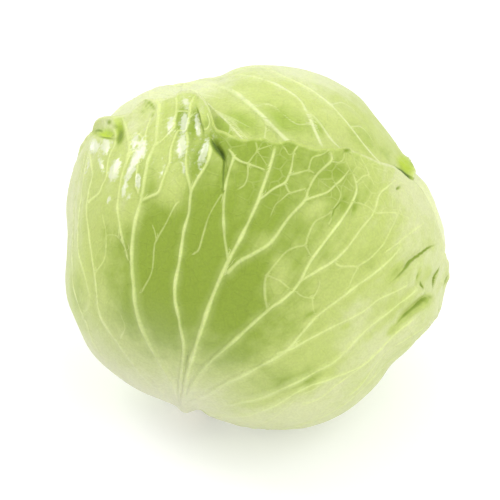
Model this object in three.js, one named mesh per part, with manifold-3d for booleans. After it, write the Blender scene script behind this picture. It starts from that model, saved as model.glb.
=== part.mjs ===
// A flat-leaved cabbage head, lying on its side: wrapper leaves over a dense head on a cut stem.
// Millimetres, +Z up. The origin is the middle of the small flat spot that the head lies on.

import * as THREE from 'three';
import { mergeVertices } from 'three/addons/utils/BufferGeometryUtils.js';
import Module from 'manifold-3d';

const DEG = Math.PI / 180;
const TAU = 2 * Math.PI;

// --- The whole head ---
// The head is close to a ball. Its outline is given in a plane that leans back from upright,
// as the radius about the head's centre every 15 degrees, counterclockwise from +X.
const CENTRE_HEIGHT = 86.5;
const OUTLINE_LEAN = 30;
const OUTLINE_RADII = [
  94.5, 92, 88.5, 88, 91.5, 92.5, 91.5, 88.5, 93.5, 97, 99, 98,
  95, 97, 97, 93, 88, 86, 89.5, 92.5, 92.5, 90.5, 90, 92,
];
const FRONT_RADIUS = 93;
const BACK_RADIUS = 91;
const FOOT_RADIUS = 90;
const FOOT_INNER_ANGLE = 15;
const FOOT_OUTER_ANGLE = 42;
const FLOOR_BLEND = 1.5;
// The flat spot, as an angle about straight down. The front leaf's edge stays clear of it.
const FLAT_ANGLE = 15.5;
const FLAT_FADE = 9;

// --- The stem axis, from the head's centre out through the butt ---
const BUTT_AWAY = 102;
const BUTT_TURN = -113.4;

// --- Leaves ---
const LEAF_THICKNESS = 1.1;
const LEAF_GAP = 1.3;
const COVER_MARGIN = 7;
const COVER_FADE = 18;
const BASE_TILT = 10.5;
const BASE_START = 3;
const ROLL_LENGTH = 9;
const RIB_HALF_WIDTH_BASE = 4.2;
const RIB_HALF_WIDTH_TIP = 1.8;
const SIDE_CLOSE = 40;
const COLUMN_ANGLE = 11.5;
const REACH_STEP = 9;
const RIB_FOOT_SHARE = 0.6;
const RIB_RISE = 0.12;

// --- Stem ---
const STEM_RADIUS = 11.5;
const STEM_INNER_END = 48;
const STEM_OUTER_END = 90.5;
const STEM_CHAMFER = 1.2;
const STEM_SIDES = 28;
const STEM_SOCKET_GAP = 0.4;

// --- Head under the wrapper leaves ---
const HEAD_COLUMNS = 44;
const HEAD_ROWS = 22;
const HEAD_FOLDS = 5;
const HEAD_FOLD_HEIGHT = 1.4;
const HEAD_CLEARANCE = 2.2;

// A spoke runs over a leaf from its hub to its margin. turn: its direction about the hub, in
// degrees to the left of straight up, at the hub, a third, two thirds and all of the way.
// reach: how far the margin is, in degrees of arc. rib: height of the raised vein along it.
// curl: how far the margin rolls outward, in degrees. lift: how far the margin stands off.
const FRONT_SPOKES = [
  { turn: [116, 112, 108, 106], reach: 48, rib: 0, curl: 0, lift: 0 },
  { turn: [110, 103, 98, 97], reach: 76, rib: 0, curl: 0, lift: 0 },
  { turn: [103, 92, 90, 90], reach: 94, rib: 0, curl: 10, lift: 0 },
  { turn: [92, 74, 80, 84], reach: 103, rib: 0.9, curl: 90, lift: 0 },
  { turn: [80, 50, 66, 75], reach: 107, rib: 1.1, curl: 150, lift: 1.5 },
  { turn: [62, 29, 52, 69], reach: 110, rib: 1.3, curl: 60, lift: 1 },
  { turn: [50, 20, 42, 63], reach: 114.5, rib: 0.9, curl: 30, lift: 0.5 },
  { turn: [40, 13, 34, 56], reach: 119.5, rib: 1.5, curl: 15, lift: 0 },
  { turn: [30, 9.5, 25, 47], reach: 129.5, rib: 0.9, curl: 35, lift: 0.5 },
  { turn: [22, 7, 21.5, 36], reach: 126.5, rib: 0, curl: 60, lift: 1 },
  { turn: [15, 5, 18, 29], reach: 121, rib: 1.5, curl: 20, lift: 2 },
  { turn: [10, 4, 12, 23], reach: 120.5, rib: 0, curl: 0, lift: 0 },
  { turn: [3, 2.5, 5, 8], reach: 123.5, rib: 2.2, curl: 0, lift: 0 },
  { turn: [-8, 0.5, 1, -16], reach: 131, rib: 1.1, curl: 12, lift: 0 },
  { turn: [-20, -2.5, -13, -24], reach: 132.5, rib: 1.5, curl: 25, lift: 0 },
  { turn: [-31, -5.5, -18, -41], reach: 132, rib: 0.9, curl: 12, lift: 0 },
  { turn: [-42, -9.5, -26, -52], reach: 126, rib: 1.5, curl: 0, lift: 0 },
  { turn: [-53, -14.5, -33, -63], reach: 116, rib: 0.9, curl: 0, lift: 0 },
  { turn: [-66, -22, -43, -74], reach: 111, rib: 1.3, curl: 20, lift: 2 },
  { turn: [-80, -42, -58, -85], reach: 107.5, rib: 0.9, curl: 55, lift: 5 },
  { turn: [-92, -62, -72, -95], reach: 97, rib: 0.9, curl: 25, lift: 2 },
  { turn: [-102, -82, -87, -99], reach: 74, rib: 0, curl: 0, lift: 0 },
  { turn: [-110, -97, -96, -101], reach: 46, rib: 0, curl: 0, lift: 0 },
];

const BACK_SPOKES = [
  { turn: [116, 108, 108, 108], reach: 44, rib: 0, curl: 0, lift: 0 },
  { turn: [98, 78, 84, 90], reach: 62, rib: 0.9, curl: 0, lift: 0 },
  { turn: [72, 46, 58, 66], reach: 74, rib: 1.2, curl: 0, lift: 0 },
  { turn: [48, 24, 36, 46], reach: 88, rib: 1.4, curl: 0, lift: 0 },
  { turn: [24, 9, 17, 25], reach: 106, rib: 1.4, curl: 10, lift: 0 },
  { turn: [0, 0, 0, 1], reach: 112, rib: 2.2, curl: 14, lift: 0 },
  { turn: [-24, -8, -15, -24], reach: 117, rib: 1.4, curl: 20, lift: 0 },
  { turn: [-48, -21, -33, -45], reach: 116, rib: 1.4, curl: 45, lift: 1 },
  { turn: [-70, -42, -54, -63], reach: 110, rib: 1.2, curl: 10, lift: 0 },
  { turn: [-94, -70, -78, -84], reach: 98, rib: 0.9, curl: 0, lift: 0 },
  { turn: [-114, -102, -104, -106], reach: 66, rib: 0, curl: 0, lift: 0 },
];

const CROWN_SPOKES = [
  { turn: [180, 180, 180, 180], reach: 118, rib: 2.4, curl: 0, lift: 0 },
  { turn: [155, 157, 160, 162], reach: 106, rib: 0, curl: 0, lift: 0 },
  { turn: [132, 136, 142, 148], reach: 96, rib: 1, curl: 0, lift: 0 },
  { turn: [100, 104, 112, 120], reach: 84, rib: 1.2, curl: 0, lift: 0 },
  { turn: [70, 72, 78, 84], reach: 78, rib: 1.3, curl: 20, lift: 0 },
  { turn: [42, 43, 46, 50], reach: 82, rib: 1.3, curl: 30, lift: 0.5 },
  { turn: [18, 18, 19, 20], reach: 85, rib: 1, curl: 15, lift: 0 },
  { turn: [2, 1, 1, 1], reach: 87, rib: 1.8, curl: 25, lift: 0.5 },
  { turn: [-7, -7, -7, -7], reach: 92.5, rib: 0, curl: 95, lift: 1.5 },
  { turn: [-18, -22, -22, -14], reach: 93, rib: 1.3, curl: 0, lift: 0 },
  { turn: [-33, -33, -33, -36], reach: 92, rib: 1.5, curl: 0, lift: 0 },
  { turn: [-48, -48, -48, -43], reach: 89, rib: 1.7, curl: 0, lift: 0 },
  { turn: [-72, -66, -60, -56], reach: 76, rib: 0.9, curl: 0, lift: 0 },
  { turn: [-98, -92, -84, -78], reach: 56, rib: 0.9, curl: 0, lift: 0 },
  { turn: [-126, -124, -122, -118], reach: 50, rib: 0.9, curl: 0, lift: 0 },
  { turn: [-152, -154, -156, -156], reach: 82, rib: 0, curl: 0, lift: 0 },
];

const RIGHT_SPOKES = [
  { turn: [114, 100, 98, 96], reach: 70, rib: 0, curl: 0, lift: 0 },
  { turn: [88, 70, 74, 78], reach: 104, rib: 0.9, curl: 0, lift: 0 },
  { turn: [58, 38, 46, 54], reach: 128, rib: 1.2, curl: 0, lift: 0 },
  { turn: [30, 14, 22, 28], reach: 142, rib: 1.4, curl: 0, lift: 0 },
  { turn: [0, 0, 0, 0], reach: 148, rib: 2, curl: 0, lift: 0 },
  { turn: [-30, -14, -22, -28], reach: 148, rib: 1.4, curl: 0, lift: 0 },
  { turn: [-58, -38, -46, -54], reach: 134, rib: 1.2, curl: 0, lift: 0 },
  { turn: [-88, -70, -74, -78], reach: 104, rib: 0.9, curl: 0, lift: 0 },
  { turn: [-114, -100, -98, -96], reach: 70, rib: 0, curl: 0, lift: 0 },
];

// Folds of the front leaf's crumpled right corner. from and to: arc from the leaf's hub and
// turn about it, in degrees. Each fold is a rounded ridge.
const CRUMPLE_FOLDS = [
  { from: [96, -42], to: [111, -60], height: 2.2, width: 4.5 },
  { from: [92, -50], to: [103, -66], height: 3, width: 4 },
  { from: [86, -54], to: [97, -72], height: 2.6, width: 4.5 },
  { from: [80, -60], to: [92, -80], height: 1.6, width: 4.5 },
];

const LEAVES = [
  { name: 'leaf_front', tilt: BASE_TILT, around: 0, rows: 13, rollRows: 3, ribStart: 0,
    offFloor: true, colour: 0x9bb256, spokes: FRONT_SPOKES, folds: CRUMPLE_FOLDS },
  { name: 'leaf_back', tilt: BASE_TILT, around: -137.5, rows: 13, rollRows: 2, ribStart: 0,
    colour: 0xb4c772, spokes: BACK_SPOKES, folds: [] },
  { name: 'leaf_crown', tilt: 128, around: 110, rows: 11, rollRows: 2, ribStart: 0.16,
    wholeRound: true, colour: 0xc4d878, spokes: CROWN_SPOKES, folds: [] },
  { name: 'leaf_right', tilt: BASE_TILT, around: -52.5, rows: 14, rollRows: 1, ribStart: 0,
    colour: 0xd0dc90, spokes: RIGHT_SPOKES, folds: [] },
];

// --- Small tools ---

function smooth(from, to, x) {
  const t = Math.min(1, Math.max(0, (x - from) / (to - from)));
  return t * t * (3 - 2 * t);
}

function catmullRom(p0, p1, p2, p3, f) {
  const a = 2 * p0 - 5 * p1 + 4 * p2 - p3;
  const b = 3 * (p1 - p2) + p3 - p0;
  return p1 + 0.5 * f * (p2 - p0 + f * (a + f * b));
}

function combine(a, x, b, y, c, z) {
  return new THREE.Vector3().addScaledVector(a, x).addScaledVector(b, y).addScaledVector(c, z);
}

// --- The envelope of the whole head ---

const sideways = new THREE.Vector3(1, 0, 0);
const leanUp = new THREE.Vector3(0, Math.sin(OUTLINE_LEAN * DEG), Math.cos(OUTLINE_LEAN * DEG));
const forward = new THREE.Vector3(0, -Math.cos(OUTLINE_LEAN * DEG), Math.sin(OUTLINE_LEAN * DEG));

function outlineRadius(angle) {
  const count = OUTLINE_RADII.length;
  const t = (((angle / TAU) % 1) + 1) % 1 * count;
  const i = Math.floor(t);
  const at = (k) => OUTLINE_RADII[(i + k + count) % count];
  return catmullRom(at(-1), at(0), at(1), at(2), t - i);
}

function angleFromDown(d) {
  return Math.acos(Math.min(1, Math.max(-1, -d.z))) / DEG;
}

function envelopeRadius(d) {
  const f = d.dot(forward);
  const angle = Math.atan2(d.dot(leanUp), d.dot(sideways));
  const axial = BACK_RADIUS + (FRONT_RADIUS - BACK_RADIUS) * smooth(-0.5, 0.5, f);
  let r = axial + (outlineRadius(angle) - axial) * (1 - f * f);
  r += (FOOT_RADIUS - r) * (1 - smooth(FOOT_INNER_ANGLE, FOOT_OUTER_ANGLE, angleFromDown(d)));
  if (d.z > -0.2) {
    return r;
  }
  const floor = CENTRE_HEIGHT / -d.z;
  const blend = Math.max(FLOOR_BLEND - Math.abs(r - floor), 0) / FLOOR_BLEND;
  return Math.min(r, floor) - blend * blend * FLOOR_BLEND / 4;
}

// --- Directions about the stem axis ---

function outlineDirection(away, turn) {
  const across = Math.sin(away * DEG);
  return combine(
    forward, Math.cos(away * DEG),
    sideways, across * Math.cos(turn * DEG),
    leanUp, across * Math.sin(turn * DEG),
  );
}

const butt = outlineDirection(BUTT_AWAY, BUTT_TURN);
const buttFront = forward.clone().addScaledVector(butt, -forward.dot(butt)).normalize();
const buttLeft = new THREE.Vector3().crossVectors(butt, buttFront);

// A hub is a point of a leaf with an up direction, away from the butt, and a left one.
function makeHub(tilt, around) {
  const side = combine(buttFront, Math.cos(around * DEG), buttLeft, Math.sin(around * DEG), butt, 0);
  const centre = combine(butt, Math.cos(tilt * DEG), side, Math.sin(tilt * DEG), side, 0);
  const up = combine(butt, -Math.sin(tilt * DEG), side, Math.cos(tilt * DEG), side, 0);
  const left = new THREE.Vector3().crossVectors(centre, up);
  return { centre, up, left };
}

function hubDirection(hub, arc, turn) {
  const s = Math.sin(arc * DEG);
  return combine(
    hub.centre, Math.cos(arc * DEG),
    hub.up, s * Math.cos(turn * DEG),
    hub.left, s * Math.sin(turn * DEG),
  );
}

function arcFromHub(hub, d) {
  return Math.acos(Math.min(1, Math.max(-1, d.dot(hub.centre)))) / DEG;
}

function turnAboutHub(hub, d) {
  return Math.atan2(d.dot(hub.left), d.dot(hub.up)) / DEG;
}

// --- Which leaf covers which ---

function reachAt(leaf, turn) {
  const ends = leaf.spokes.map((spoke) => [spoke.turn[3], spoke.reach]);
  if (leaf.wholeRound) {
    ends.push([ends[0][0] - 360, ends[0][1]]);
  } else {
    ends.unshift([ends[0][0] + SIDE_CLOSE, BASE_START]);
    ends.push([ends[ends.length - 1][0] - SIDE_CLOSE, BASE_START]);
  }
  for (let i = 0; i + 1 < ends.length; i++) {
    const [leftTurn, leftReach] = ends[i];
    const [rightTurn, rightReach] = ends[i + 1];
    if (turn <= leftTurn && turn >= rightTurn) {
      const f = (leftTurn - turn) / (leftTurn - rightTurn);
      return leftReach + (rightReach - leftReach) * f;
    }
  }
  return BASE_START;
}

function coverBy(leaf, d) {
  const beyond = arcFromHub(leaf.hub, d) - reachAt(leaf, turnAboutHub(leaf.hub, d));
  const cover = 1 - smooth(COVER_MARGIN, COVER_MARGIN + COVER_FADE, beyond);
  const offFloor = smooth(FLAT_ANGLE, FLAT_ANGLE + FLAT_FADE, angleFromDown(d));
  return leaf.offFloor ? cover * offFloor : cover;
}

// How deep a layer lies under the envelope, and how much of it the leaves above leave open.
function depthUnder(layer, d) {
  let depth = 0;
  let open = 1;
  for (let k = 0; k < layer; k++) {
    const cover = coverBy(LEAVES[k], d);
    depth += cover * (LEAF_THICKNESS + LEAF_GAP);
    open *= 1 - cover;
  }
  return { depth, open };
}

// --- Bodies ---

function bodyGeometry(points, triangles) {
  const geometry = new THREE.BufferGeometry();
  const coordinates = points.flatMap((point) => point.toArray());
  geometry.setAttribute('position', new THREE.Float32BufferAttribute(coordinates, 3));
  geometry.setIndex(triangles.flat());
  const merged = mergeVertices(geometry, 1e-3);
  const index = merged.getIndex().array;
  const kept = [];
  for (let i = 0; i < index.length; i += 3) {
    const [a, b, c] = [index[i], index[i + 1], index[i + 2]];
    if (a !== b && b !== c && c !== a) {
      kept.push(a, b, c);
    }
  }
  merged.setIndex(kept);
  merged.computeVertexNormals();
  return merged;
}

// The turn along a spoke, at f of the way, through its four values.
function spokeTurn(spoke, f) {
  const [a, b, c, d] = spoke.turn;
  const t = Math.min(f * 3, 2.999999);
  const i = Math.floor(t);
  const values = [2 * a - b, a, b, c, d, 2 * d - c];
  return catmullRom(values[i], values[i + 1], values[i + 2], values[i + 3], t - i);
}

function ribHalfAngle(arc, f) {
  const width = RIB_HALF_WIDTH_BASE + (RIB_HALF_WIDTH_TIP - RIB_HALF_WIDTH_BASE) * f;
  return width / (FRONT_RADIUS * Math.sin(Math.max(arc, BASE_START) * DEG)) / DEG;
}

function turnBetween(left, right) {
  return ((left - right) % 360 + 360) % 360;
}

// Columns: a spoke has one, a raised rib has two more at its foot, and plain ones lie between.
function leafColumns(leaf) {
  const columns = [];
  const count = leaf.spokes.length;
  const gaps = leaf.wholeRound ? count : count - 1;
  const between = leaf.spokes.map((spoke, i) => {
    const next = leaf.spokes[(i + 1) % count];
    const widest = Math.max(...spoke.turn.map((turn, k) => turnBetween(turn, next.turn[k])));
    const step = Math.abs(spoke.reach - next.reach);
    return i < gaps ? Math.ceil(Math.max(widest / COLUMN_ANGLE, step / REACH_STEP)) : 0;
  });
  for (let i = 0; i < count; i++) {
    const spoke = leaf.spokes[i];
    const next = leaf.spokes[(i + 1) % count];
    const last = (i + count - 1) % count;
    if (spoke.rib > 0) {
      const foot = RIB_FOOT_SHARE / Math.max(between[last], 1);
      columns.push({ from: spoke, to: leaf.spokes[last], foot, side: 1, share: 0, height: 0 });
    }
    columns.push({ from: spoke, to: next, side: 0, share: 0, height: spoke.rib });
    if (spoke.rib > 0) {
      const foot = RIB_FOOT_SHARE / Math.max(between[i], 1);
      columns.push({ from: spoke, to: next, foot, side: -1, share: 0, height: 0 });
    }
    for (let k = 1; k < between[i]; k++) {
      columns.push({ from: spoke, to: next, side: 0, share: k / between[i], height: 0 });
    }
  }
  return columns;
}

function columnTurn(column, arc, f) {
  const here = spokeTurn(column.from, f);
  const there = spokeTurn(column.to, f);
  if (column.side > 0) {
    return here + Math.min(ribHalfAngle(arc, f), column.foot * turnBetween(there, here));
  }
  if (column.side < 0) {
    return here - Math.min(ribHalfAngle(arc, f), column.foot * turnBetween(here, there));
  }
  return here - column.share * turnBetween(here, there);
}

function columnValue(column, key) {
  return column.from[key] + (column.to[key] - column.from[key]) * column.share;
}

function foldHeight(leaf, d) {
  let height = 0;
  for (const fold of leaf.folds) {
    const a = hubDirection(leaf.hub, ...fold.from);
    const b = hubDirection(leaf.hub, ...fold.to);
    const along = b.clone().sub(a);
    const t = Math.min(1, Math.max(0, d.clone().sub(a).dot(along) / along.lengthSq()));
    const away = d.distanceTo(a.addScaledVector(along, t)) * FRONT_RADIUS / fold.width;
    height = Math.max(height, fold.height * Math.exp(-away * away));
  }
  return height;
}

// One point of a leaf: its place on the outer face without the rib, the direction of the
// leaf's thickness there, and the height of the rib.
function leafPoint(leaf, layer, column, f) {
  const start = leaf.wholeRound ? 0 : BASE_START;
  const reach = columnValue(column, 'reach');
  const arc = start + (reach - start) * f;
  const turn = columnTurn(column, arc, f);
  const d = hubDirection(leaf.hub, arc, turn);
  const outwardAlong = combine(
    leaf.hub.centre, -Math.sin(arc * DEG),
    leaf.hub.up, Math.cos(arc * DEG) * Math.cos(turn * DEG),
    leaf.hub.left, Math.cos(arc * DEG) * Math.sin(turn * DEG),
  );
  const { depth, open } = depthUnder(layer, d);
  const fromMargin = (reach - arc) * DEG * FRONT_RADIUS;
  const intoRoll = Math.max(0, ROLL_LENGTH - fromMargin);
  const angle = Math.max(columnValue(column, 'curl') * open, 0.5) * DEG;
  const radius = ROLL_LENGTH / angle;
  const rolled = intoRoll / radius;
  const lift = columnValue(column, 'lift') * open * smooth(3 * ROLL_LENGTH, 0, fromMargin);
  const radial = envelopeRadius(d) - depth + lift + foldHeight(leaf, d) * open;
  const place = d.clone().multiplyScalar(radial);
  place.addScaledVector(outwardAlong, radius * Math.sin(rolled) - intoRoll);
  place.addScaledVector(d, radius * (1 - Math.cos(rolled)));
  const normal = d.clone().multiplyScalar(Math.cos(rolled));
  normal.addScaledVector(outwardAlong, -Math.sin(rolled));
  const fade = smooth(leaf.ribStart, leaf.ribStart + RIB_RISE, f) * (1 - 0.6 * f) * open;
  return { place, normal, rib: column.height * fade };
}

function rowFractions(leaf, column) {
  const start = leaf.wholeRound ? 0 : BASE_START;
  const span = (columnValue(column, 'reach') - start) * DEG * FRONT_RADIUS;
  const rollStart = 1 - ROLL_LENGTH / span;
  const fractions = [];
  for (let j = 0; j <= leaf.rows; j++) {
    fractions.push(rollStart * j / leaf.rows);
  }
  for (let j = 1; j <= leaf.rollRows; j++) {
    fractions.push(rollStart + (1 - rollStart) * j / leaf.rollRows);
  }
  return fractions;
}

function toFloorFrame(point) {
  point.z = Math.max(point.z + CENTRE_HEIGHT, 0);
  return point;
}

function leafGeometry(leaf, layer) {
  const columns = leafColumns(leaf);
  const rows = leaf.rows + leaf.rollRows + 1;
  const points = [];
  for (const column of columns) {
    for (const f of rowFractions(leaf, column)) {
      const { place, normal, rib } = leafPoint(leaf, layer, column, f);
      points.push(toFloorFrame(place.clone().addScaledVector(normal, rib)));
      points.push(toFloorFrame(place.addScaledVector(normal, -LEAF_THICKNESS)));
    }
  }
  const outer = (i, j) => 2 * ((i % columns.length) * rows + j);
  const inner = (i, j) => outer(i, j) + 1;
  const triangles = [];
  const wall = (a, b, c, d) => triangles.push([a, b, c], [a, c, d]);
  const strips = leaf.wholeRound ? columns.length : columns.length - 1;
  for (let i = 0; i < strips; i++) {
    for (let j = 0; j + 1 < rows; j++) {
      wall(outer(i, j), outer(i + 1, j), outer(i + 1, j + 1), outer(i, j + 1));
      triangles.push([inner(i, j), inner(i + 1, j + 1), inner(i + 1, j)]);
      triangles.push([inner(i, j), inner(i, j + 1), inner(i + 1, j + 1)]);
    }
    wall(outer(i, rows - 1), outer(i + 1, rows - 1), inner(i + 1, rows - 1), inner(i, rows - 1));
    if (!leaf.wholeRound) {
      wall(outer(i + 1, 0), outer(i, 0), inner(i, 0), inner(i + 1, 0));
    }
  }
  if (!leaf.wholeRound) {
    for (let j = 0; j + 1 < rows; j++) {
      wall(outer(0, j), outer(0, j + 1), inner(0, j + 1), inner(0, j));
      wall(outer(strips, j + 1), outer(strips, j), inner(strips, j), inner(strips, j + 1));
    }
  }
  return bodyGeometry(points, triangles);
}

// The head under the wrapper leaves: leaf edges wind round it from the butt to the crown.
function headGeometry() {
  const hub = makeHub(0, 0);
  const points = [];
  for (let i = 0; i < HEAD_COLUMNS; i++) {
    for (let j = 0; j <= HEAD_ROWS; j++) {
      const arc = 180 * j / HEAD_ROWS;
      const turn = -360 * i / HEAD_COLUMNS;
      const d = hubDirection(hub, arc, turn);
      const winding = (((turn + 2 * arc) * HEAD_FOLDS / 360) % 1 + 1) % 1;
      const fold = HEAD_FOLD_HEIGHT * winding * smooth(10, 50, arc) * smooth(178, 140, arc);
      const { depth } = depthUnder(LEAVES.length, d);
      const radius = envelopeRadius(d) - depth - HEAD_CLEARANCE - HEAD_FOLD_HEIGHT + fold;
      points.push(toFloorFrame(d.multiplyScalar(radius)));
    }
  }
  const at = (i, j) => (i % HEAD_COLUMNS) * (HEAD_ROWS + 1) + j;
  const triangles = [];
  for (let i = 0; i < HEAD_COLUMNS; i++) {
    for (let j = 0; j < HEAD_ROWS; j++) {
      triangles.push([at(i, j), at(i + 1, j), at(i + 1, j + 1)]);
      triangles.push([at(i, j), at(i + 1, j + 1), at(i, j + 1)]);
    }
  }
  return bodyGeometry(points, triangles);
}

// A round bar along the stem axis, with a chamfer at its outer end.
function stemGeometry(radius, innerEnd, outerEnd, chamfer) {
  const profile = [
    new THREE.Vector2(0, innerEnd),
    new THREE.Vector2(radius * 0.7, innerEnd),
    new THREE.Vector2(radius, innerEnd + radius * 0.6),
    new THREE.Vector2(radius, outerEnd - chamfer),
    new THREE.Vector2(radius - chamfer, outerEnd),
    new THREE.Vector2(0, outerEnd),
  ];
  const lathe = new THREE.LatheGeometry(profile, STEM_SIDES);
  const lathed = new THREE.Vector3(0, 1, 0);
  lathe.applyQuaternion(new THREE.Quaternion().setFromUnitVectors(lathed, butt));
  lathe.translate(0, 0, CENTRE_HEIGHT);
  const index = Array.from(lathe.getIndex().array);
  const position = lathe.getAttribute('position');
  const points = [];
  for (let k = 0; k < position.count; k++) {
    points.push(new THREE.Vector3().fromBufferAttribute(position, k));
  }
  const triangles = [];
  for (let k = 0; k < index.length; k += 3) {
    triangles.push(index.slice(k, k + 3));
  }
  return bodyGeometry(points, triangles);
}

const wasm = await Module();
wasm.setup();

function solidOf(geometry) {
  return new wasm.Manifold(new wasm.Mesh({
    numProp: 3,
    vertProperties: new Float32Array(geometry.getAttribute('position').array),
    triVerts: new Uint32Array(geometry.getIndex().array),
  }));
}

function geometryOf(solid) {
  const mesh = solid.getMesh();
  const geometry = new THREE.BufferGeometry();
  geometry.setAttribute('position', new THREE.BufferAttribute(mesh.vertProperties, 3));
  geometry.setIndex(new THREE.BufferAttribute(mesh.triVerts, 1));
  geometry.computeVertexNormals();
  return geometry;
}

function named(name, geometry, colour, roughness) {
  const material = new THREE.MeshStandardMaterial({ color: colour, roughness, metalness: 0 });
  const mesh = new THREE.Mesh(geometry, material);
  mesh.name = name;
  return mesh;
}

// --- The part ---

const group = new THREE.Group();

for (const leaf of LEAVES) {
  leaf.hub = makeHub(leaf.tilt, leaf.around);
}
LEAVES.forEach((leaf, layer) => {
  group.add(named(leaf.name, leafGeometry(leaf, layer), leaf.colour, 0.45));
});

const socket = stemGeometry(
  STEM_RADIUS + STEM_SOCKET_GAP, STEM_INNER_END - STEM_SOCKET_GAP, STEM_OUTER_END + 10, STEM_CHAMFER);
const head = geometryOf(solidOf(headGeometry()).subtract(solidOf(socket)));
group.add(named('head', head, 0xd8e2a0, 0.5));

const stem = stemGeometry(STEM_RADIUS, STEM_INNER_END, STEM_OUTER_END, STEM_CHAMFER);
group.add(named('stem', stem, 0xe6e4c4, 0.6));

export default group;
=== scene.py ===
import math

import bmesh
import bpy
import numpy as np
from mathutils import Matrix, Vector, noise
from mathutils.kdtree import KDTree


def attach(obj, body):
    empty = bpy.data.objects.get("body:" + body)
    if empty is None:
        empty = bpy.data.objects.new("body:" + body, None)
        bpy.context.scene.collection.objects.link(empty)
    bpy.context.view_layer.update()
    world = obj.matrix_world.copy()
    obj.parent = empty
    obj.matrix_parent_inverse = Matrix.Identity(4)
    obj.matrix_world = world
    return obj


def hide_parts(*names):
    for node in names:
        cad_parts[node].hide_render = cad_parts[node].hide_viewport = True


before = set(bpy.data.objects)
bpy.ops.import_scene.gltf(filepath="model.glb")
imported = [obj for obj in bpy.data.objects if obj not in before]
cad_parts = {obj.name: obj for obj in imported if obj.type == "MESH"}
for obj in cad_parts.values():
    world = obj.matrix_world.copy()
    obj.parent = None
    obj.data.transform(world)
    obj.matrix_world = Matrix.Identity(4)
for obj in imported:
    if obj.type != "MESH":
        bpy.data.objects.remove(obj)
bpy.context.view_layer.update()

MM = 0.001
DEG = math.pi / 180

# ---------------------------------------------------------------- the whole head, as in the CAD model
# Millimetres and degrees. The head is close to a ball, and its outline is given in a plane that
# leans back from upright: the radius about its centre every 15 degrees, counterclockwise from +X.
CENTRE_HEIGHT = 86.5
OUTLINE_LEAN = 30
OUTLINE_RADII = np.array([
    94.5, 92, 88.5, 88, 91.5, 92.5, 91.5, 88.5, 93.5, 97, 99, 98,
    95, 97, 97, 93, 88, 86, 89.5, 92.5, 92.5, 90.5, 90, 92,
])
FRONT_RADIUS = 93
BACK_RADIUS = 91
# The back radius passes into the front one where a direction leans this far forward, from -1 to 1.
BACK_TO_FRONT = (-0.5, 0.5)
# Angles in degrees from straight down: where the foot's radius ends and the head's own is reached,
# and where the front leaf ends, beside the flat spot that the head stands on.
FOOT_RADIUS = 90
FOOT_ANGLES = (15, 42)
FLAT_ANGLES = (15.5, 24.5)
FLOOR_BLEND = 1.5
# Directions that lead down by less than this never meet the floor.
FLOOR_LEAST = 0.2
NO_FLOOR = 1e3
# The butt is where the stem is cut, and most leaves start a little beside it.
BUTT_AWAY = 102
BUTT_TURN = -113.4
BASE_TILT = 10.5
BASE_START = 3

# Layers: how far each leaf lies under the ones that cover it.
LAYER_STEP = 1.3
COVER_ANGLES = (1.5, 12)
LEAF_THICKNESS = 0.8
SIDE_CLOSE = 40

SIDEWAYS = np.array([1.0, 0, 0])
LEAN_UP = np.array([0, math.sin(OUTLINE_LEAN * DEG), math.cos(OUTLINE_LEAN * DEG)])
FORWARD = np.array([0, -math.cos(OUTLINE_LEAN * DEG), math.sin(OUTLINE_LEAN * DEG)])

# ---------------------------------------------------------------- the camera
# Places on the visible side are given as pixels of a 500 x 500 frame, half a millimetre each
# at the head's centre.
FRAME_PIXELS = 500
PIXEL_MM = 0.5
CAMERA_DISTANCE = 850
CENTRE_PIXEL = (255, 248)
SENSOR_MM = 36
# A ray meets the head in this many rounds. A place is seen where its direction leans this far
# forward.
AIM_ROUNDS = 40
SEEN_FORWARD = (-0.15, 0.05)

camera_offset = (
    SIDEWAYS * (FRAME_PIXELS / 2 - CENTRE_PIXEL[0]) * PIXEL_MM
    + LEAN_UP * (CENTRE_PIXEL[1] - FRAME_PIXELS / 2) * PIXEL_MM
)
CAMERA_PLACE = FORWARD * CAMERA_DISTANCE + camera_offset


# ---------------------------------------------------------------- small tools
NOISE_VECTOR_SEED = 11


def smooth(low, high, x):
    """0 at low and 1 at high, level beyond them and smooth between. Low may be the larger one."""
    t = np.clip((x - low) / (high - low), 0, 1)
    return t * t * (3 - 2 * t)


def partly(share, low, high, x):
    """0 at low, and this share at high."""
    return share * smooth(low, high, x)


def rise_and_fall(t, rise_end, fall_start, height):
    """0 at both ends of a line, and its full height from the first share to the second."""
    return height * smooth(0, rise_end, t) * smooth(1, fall_start, t)


def bell(x):
    """1 at 0, and next to nothing from 2 away."""
    return np.exp(-x * x)


def between(a, b, share):
    return a + (b - a) * share


def catmull_rom(p0, p1, p2, p3, f):
    bend = 2 * p0 - 5 * p1 + 4 * p2 - p3 + f * (3 * (p1 - p2) + p3 - p0)
    return p1 + 0.5 * f * (p2 - p0 + f * bend)


def unit(v):
    return v / np.linalg.norm(v, axis=-1, keepdims=True)


def noise_vectors(places, size):
    """Soft vectors of this size. Without a set seed they would differ from run to run."""
    noise.seed_set(NOISE_VECTOR_SEED)
    return np.array([noise.noise_vector(Vector(place)) for place in places / size])


def noise_values(places, size, shift=0.0):
    """Soft lumps of this size, about -1 to 1. Each shift gives other ones."""
    offset = np.array([shift, 1.7 * shift, -shift])
    return np.array([noise.noise(Vector(place)) for place in places / size + offset])


def tree_of(places):
    """A search tree that finds the nearest of these places."""
    tree = KDTree(len(places))
    for i, place in enumerate(places):
        tree.insert(place, i)
    tree.balance()
    return tree


def mesh_of(bm, name):
    mesh = bpy.data.meshes.new(name)
    bm.to_mesh(mesh)
    bm.free()
    return mesh


def new_object(name, data):
    made = bpy.data.objects.new(name, data)
    bpy.context.scene.collection.objects.link(made)
    return made


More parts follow.
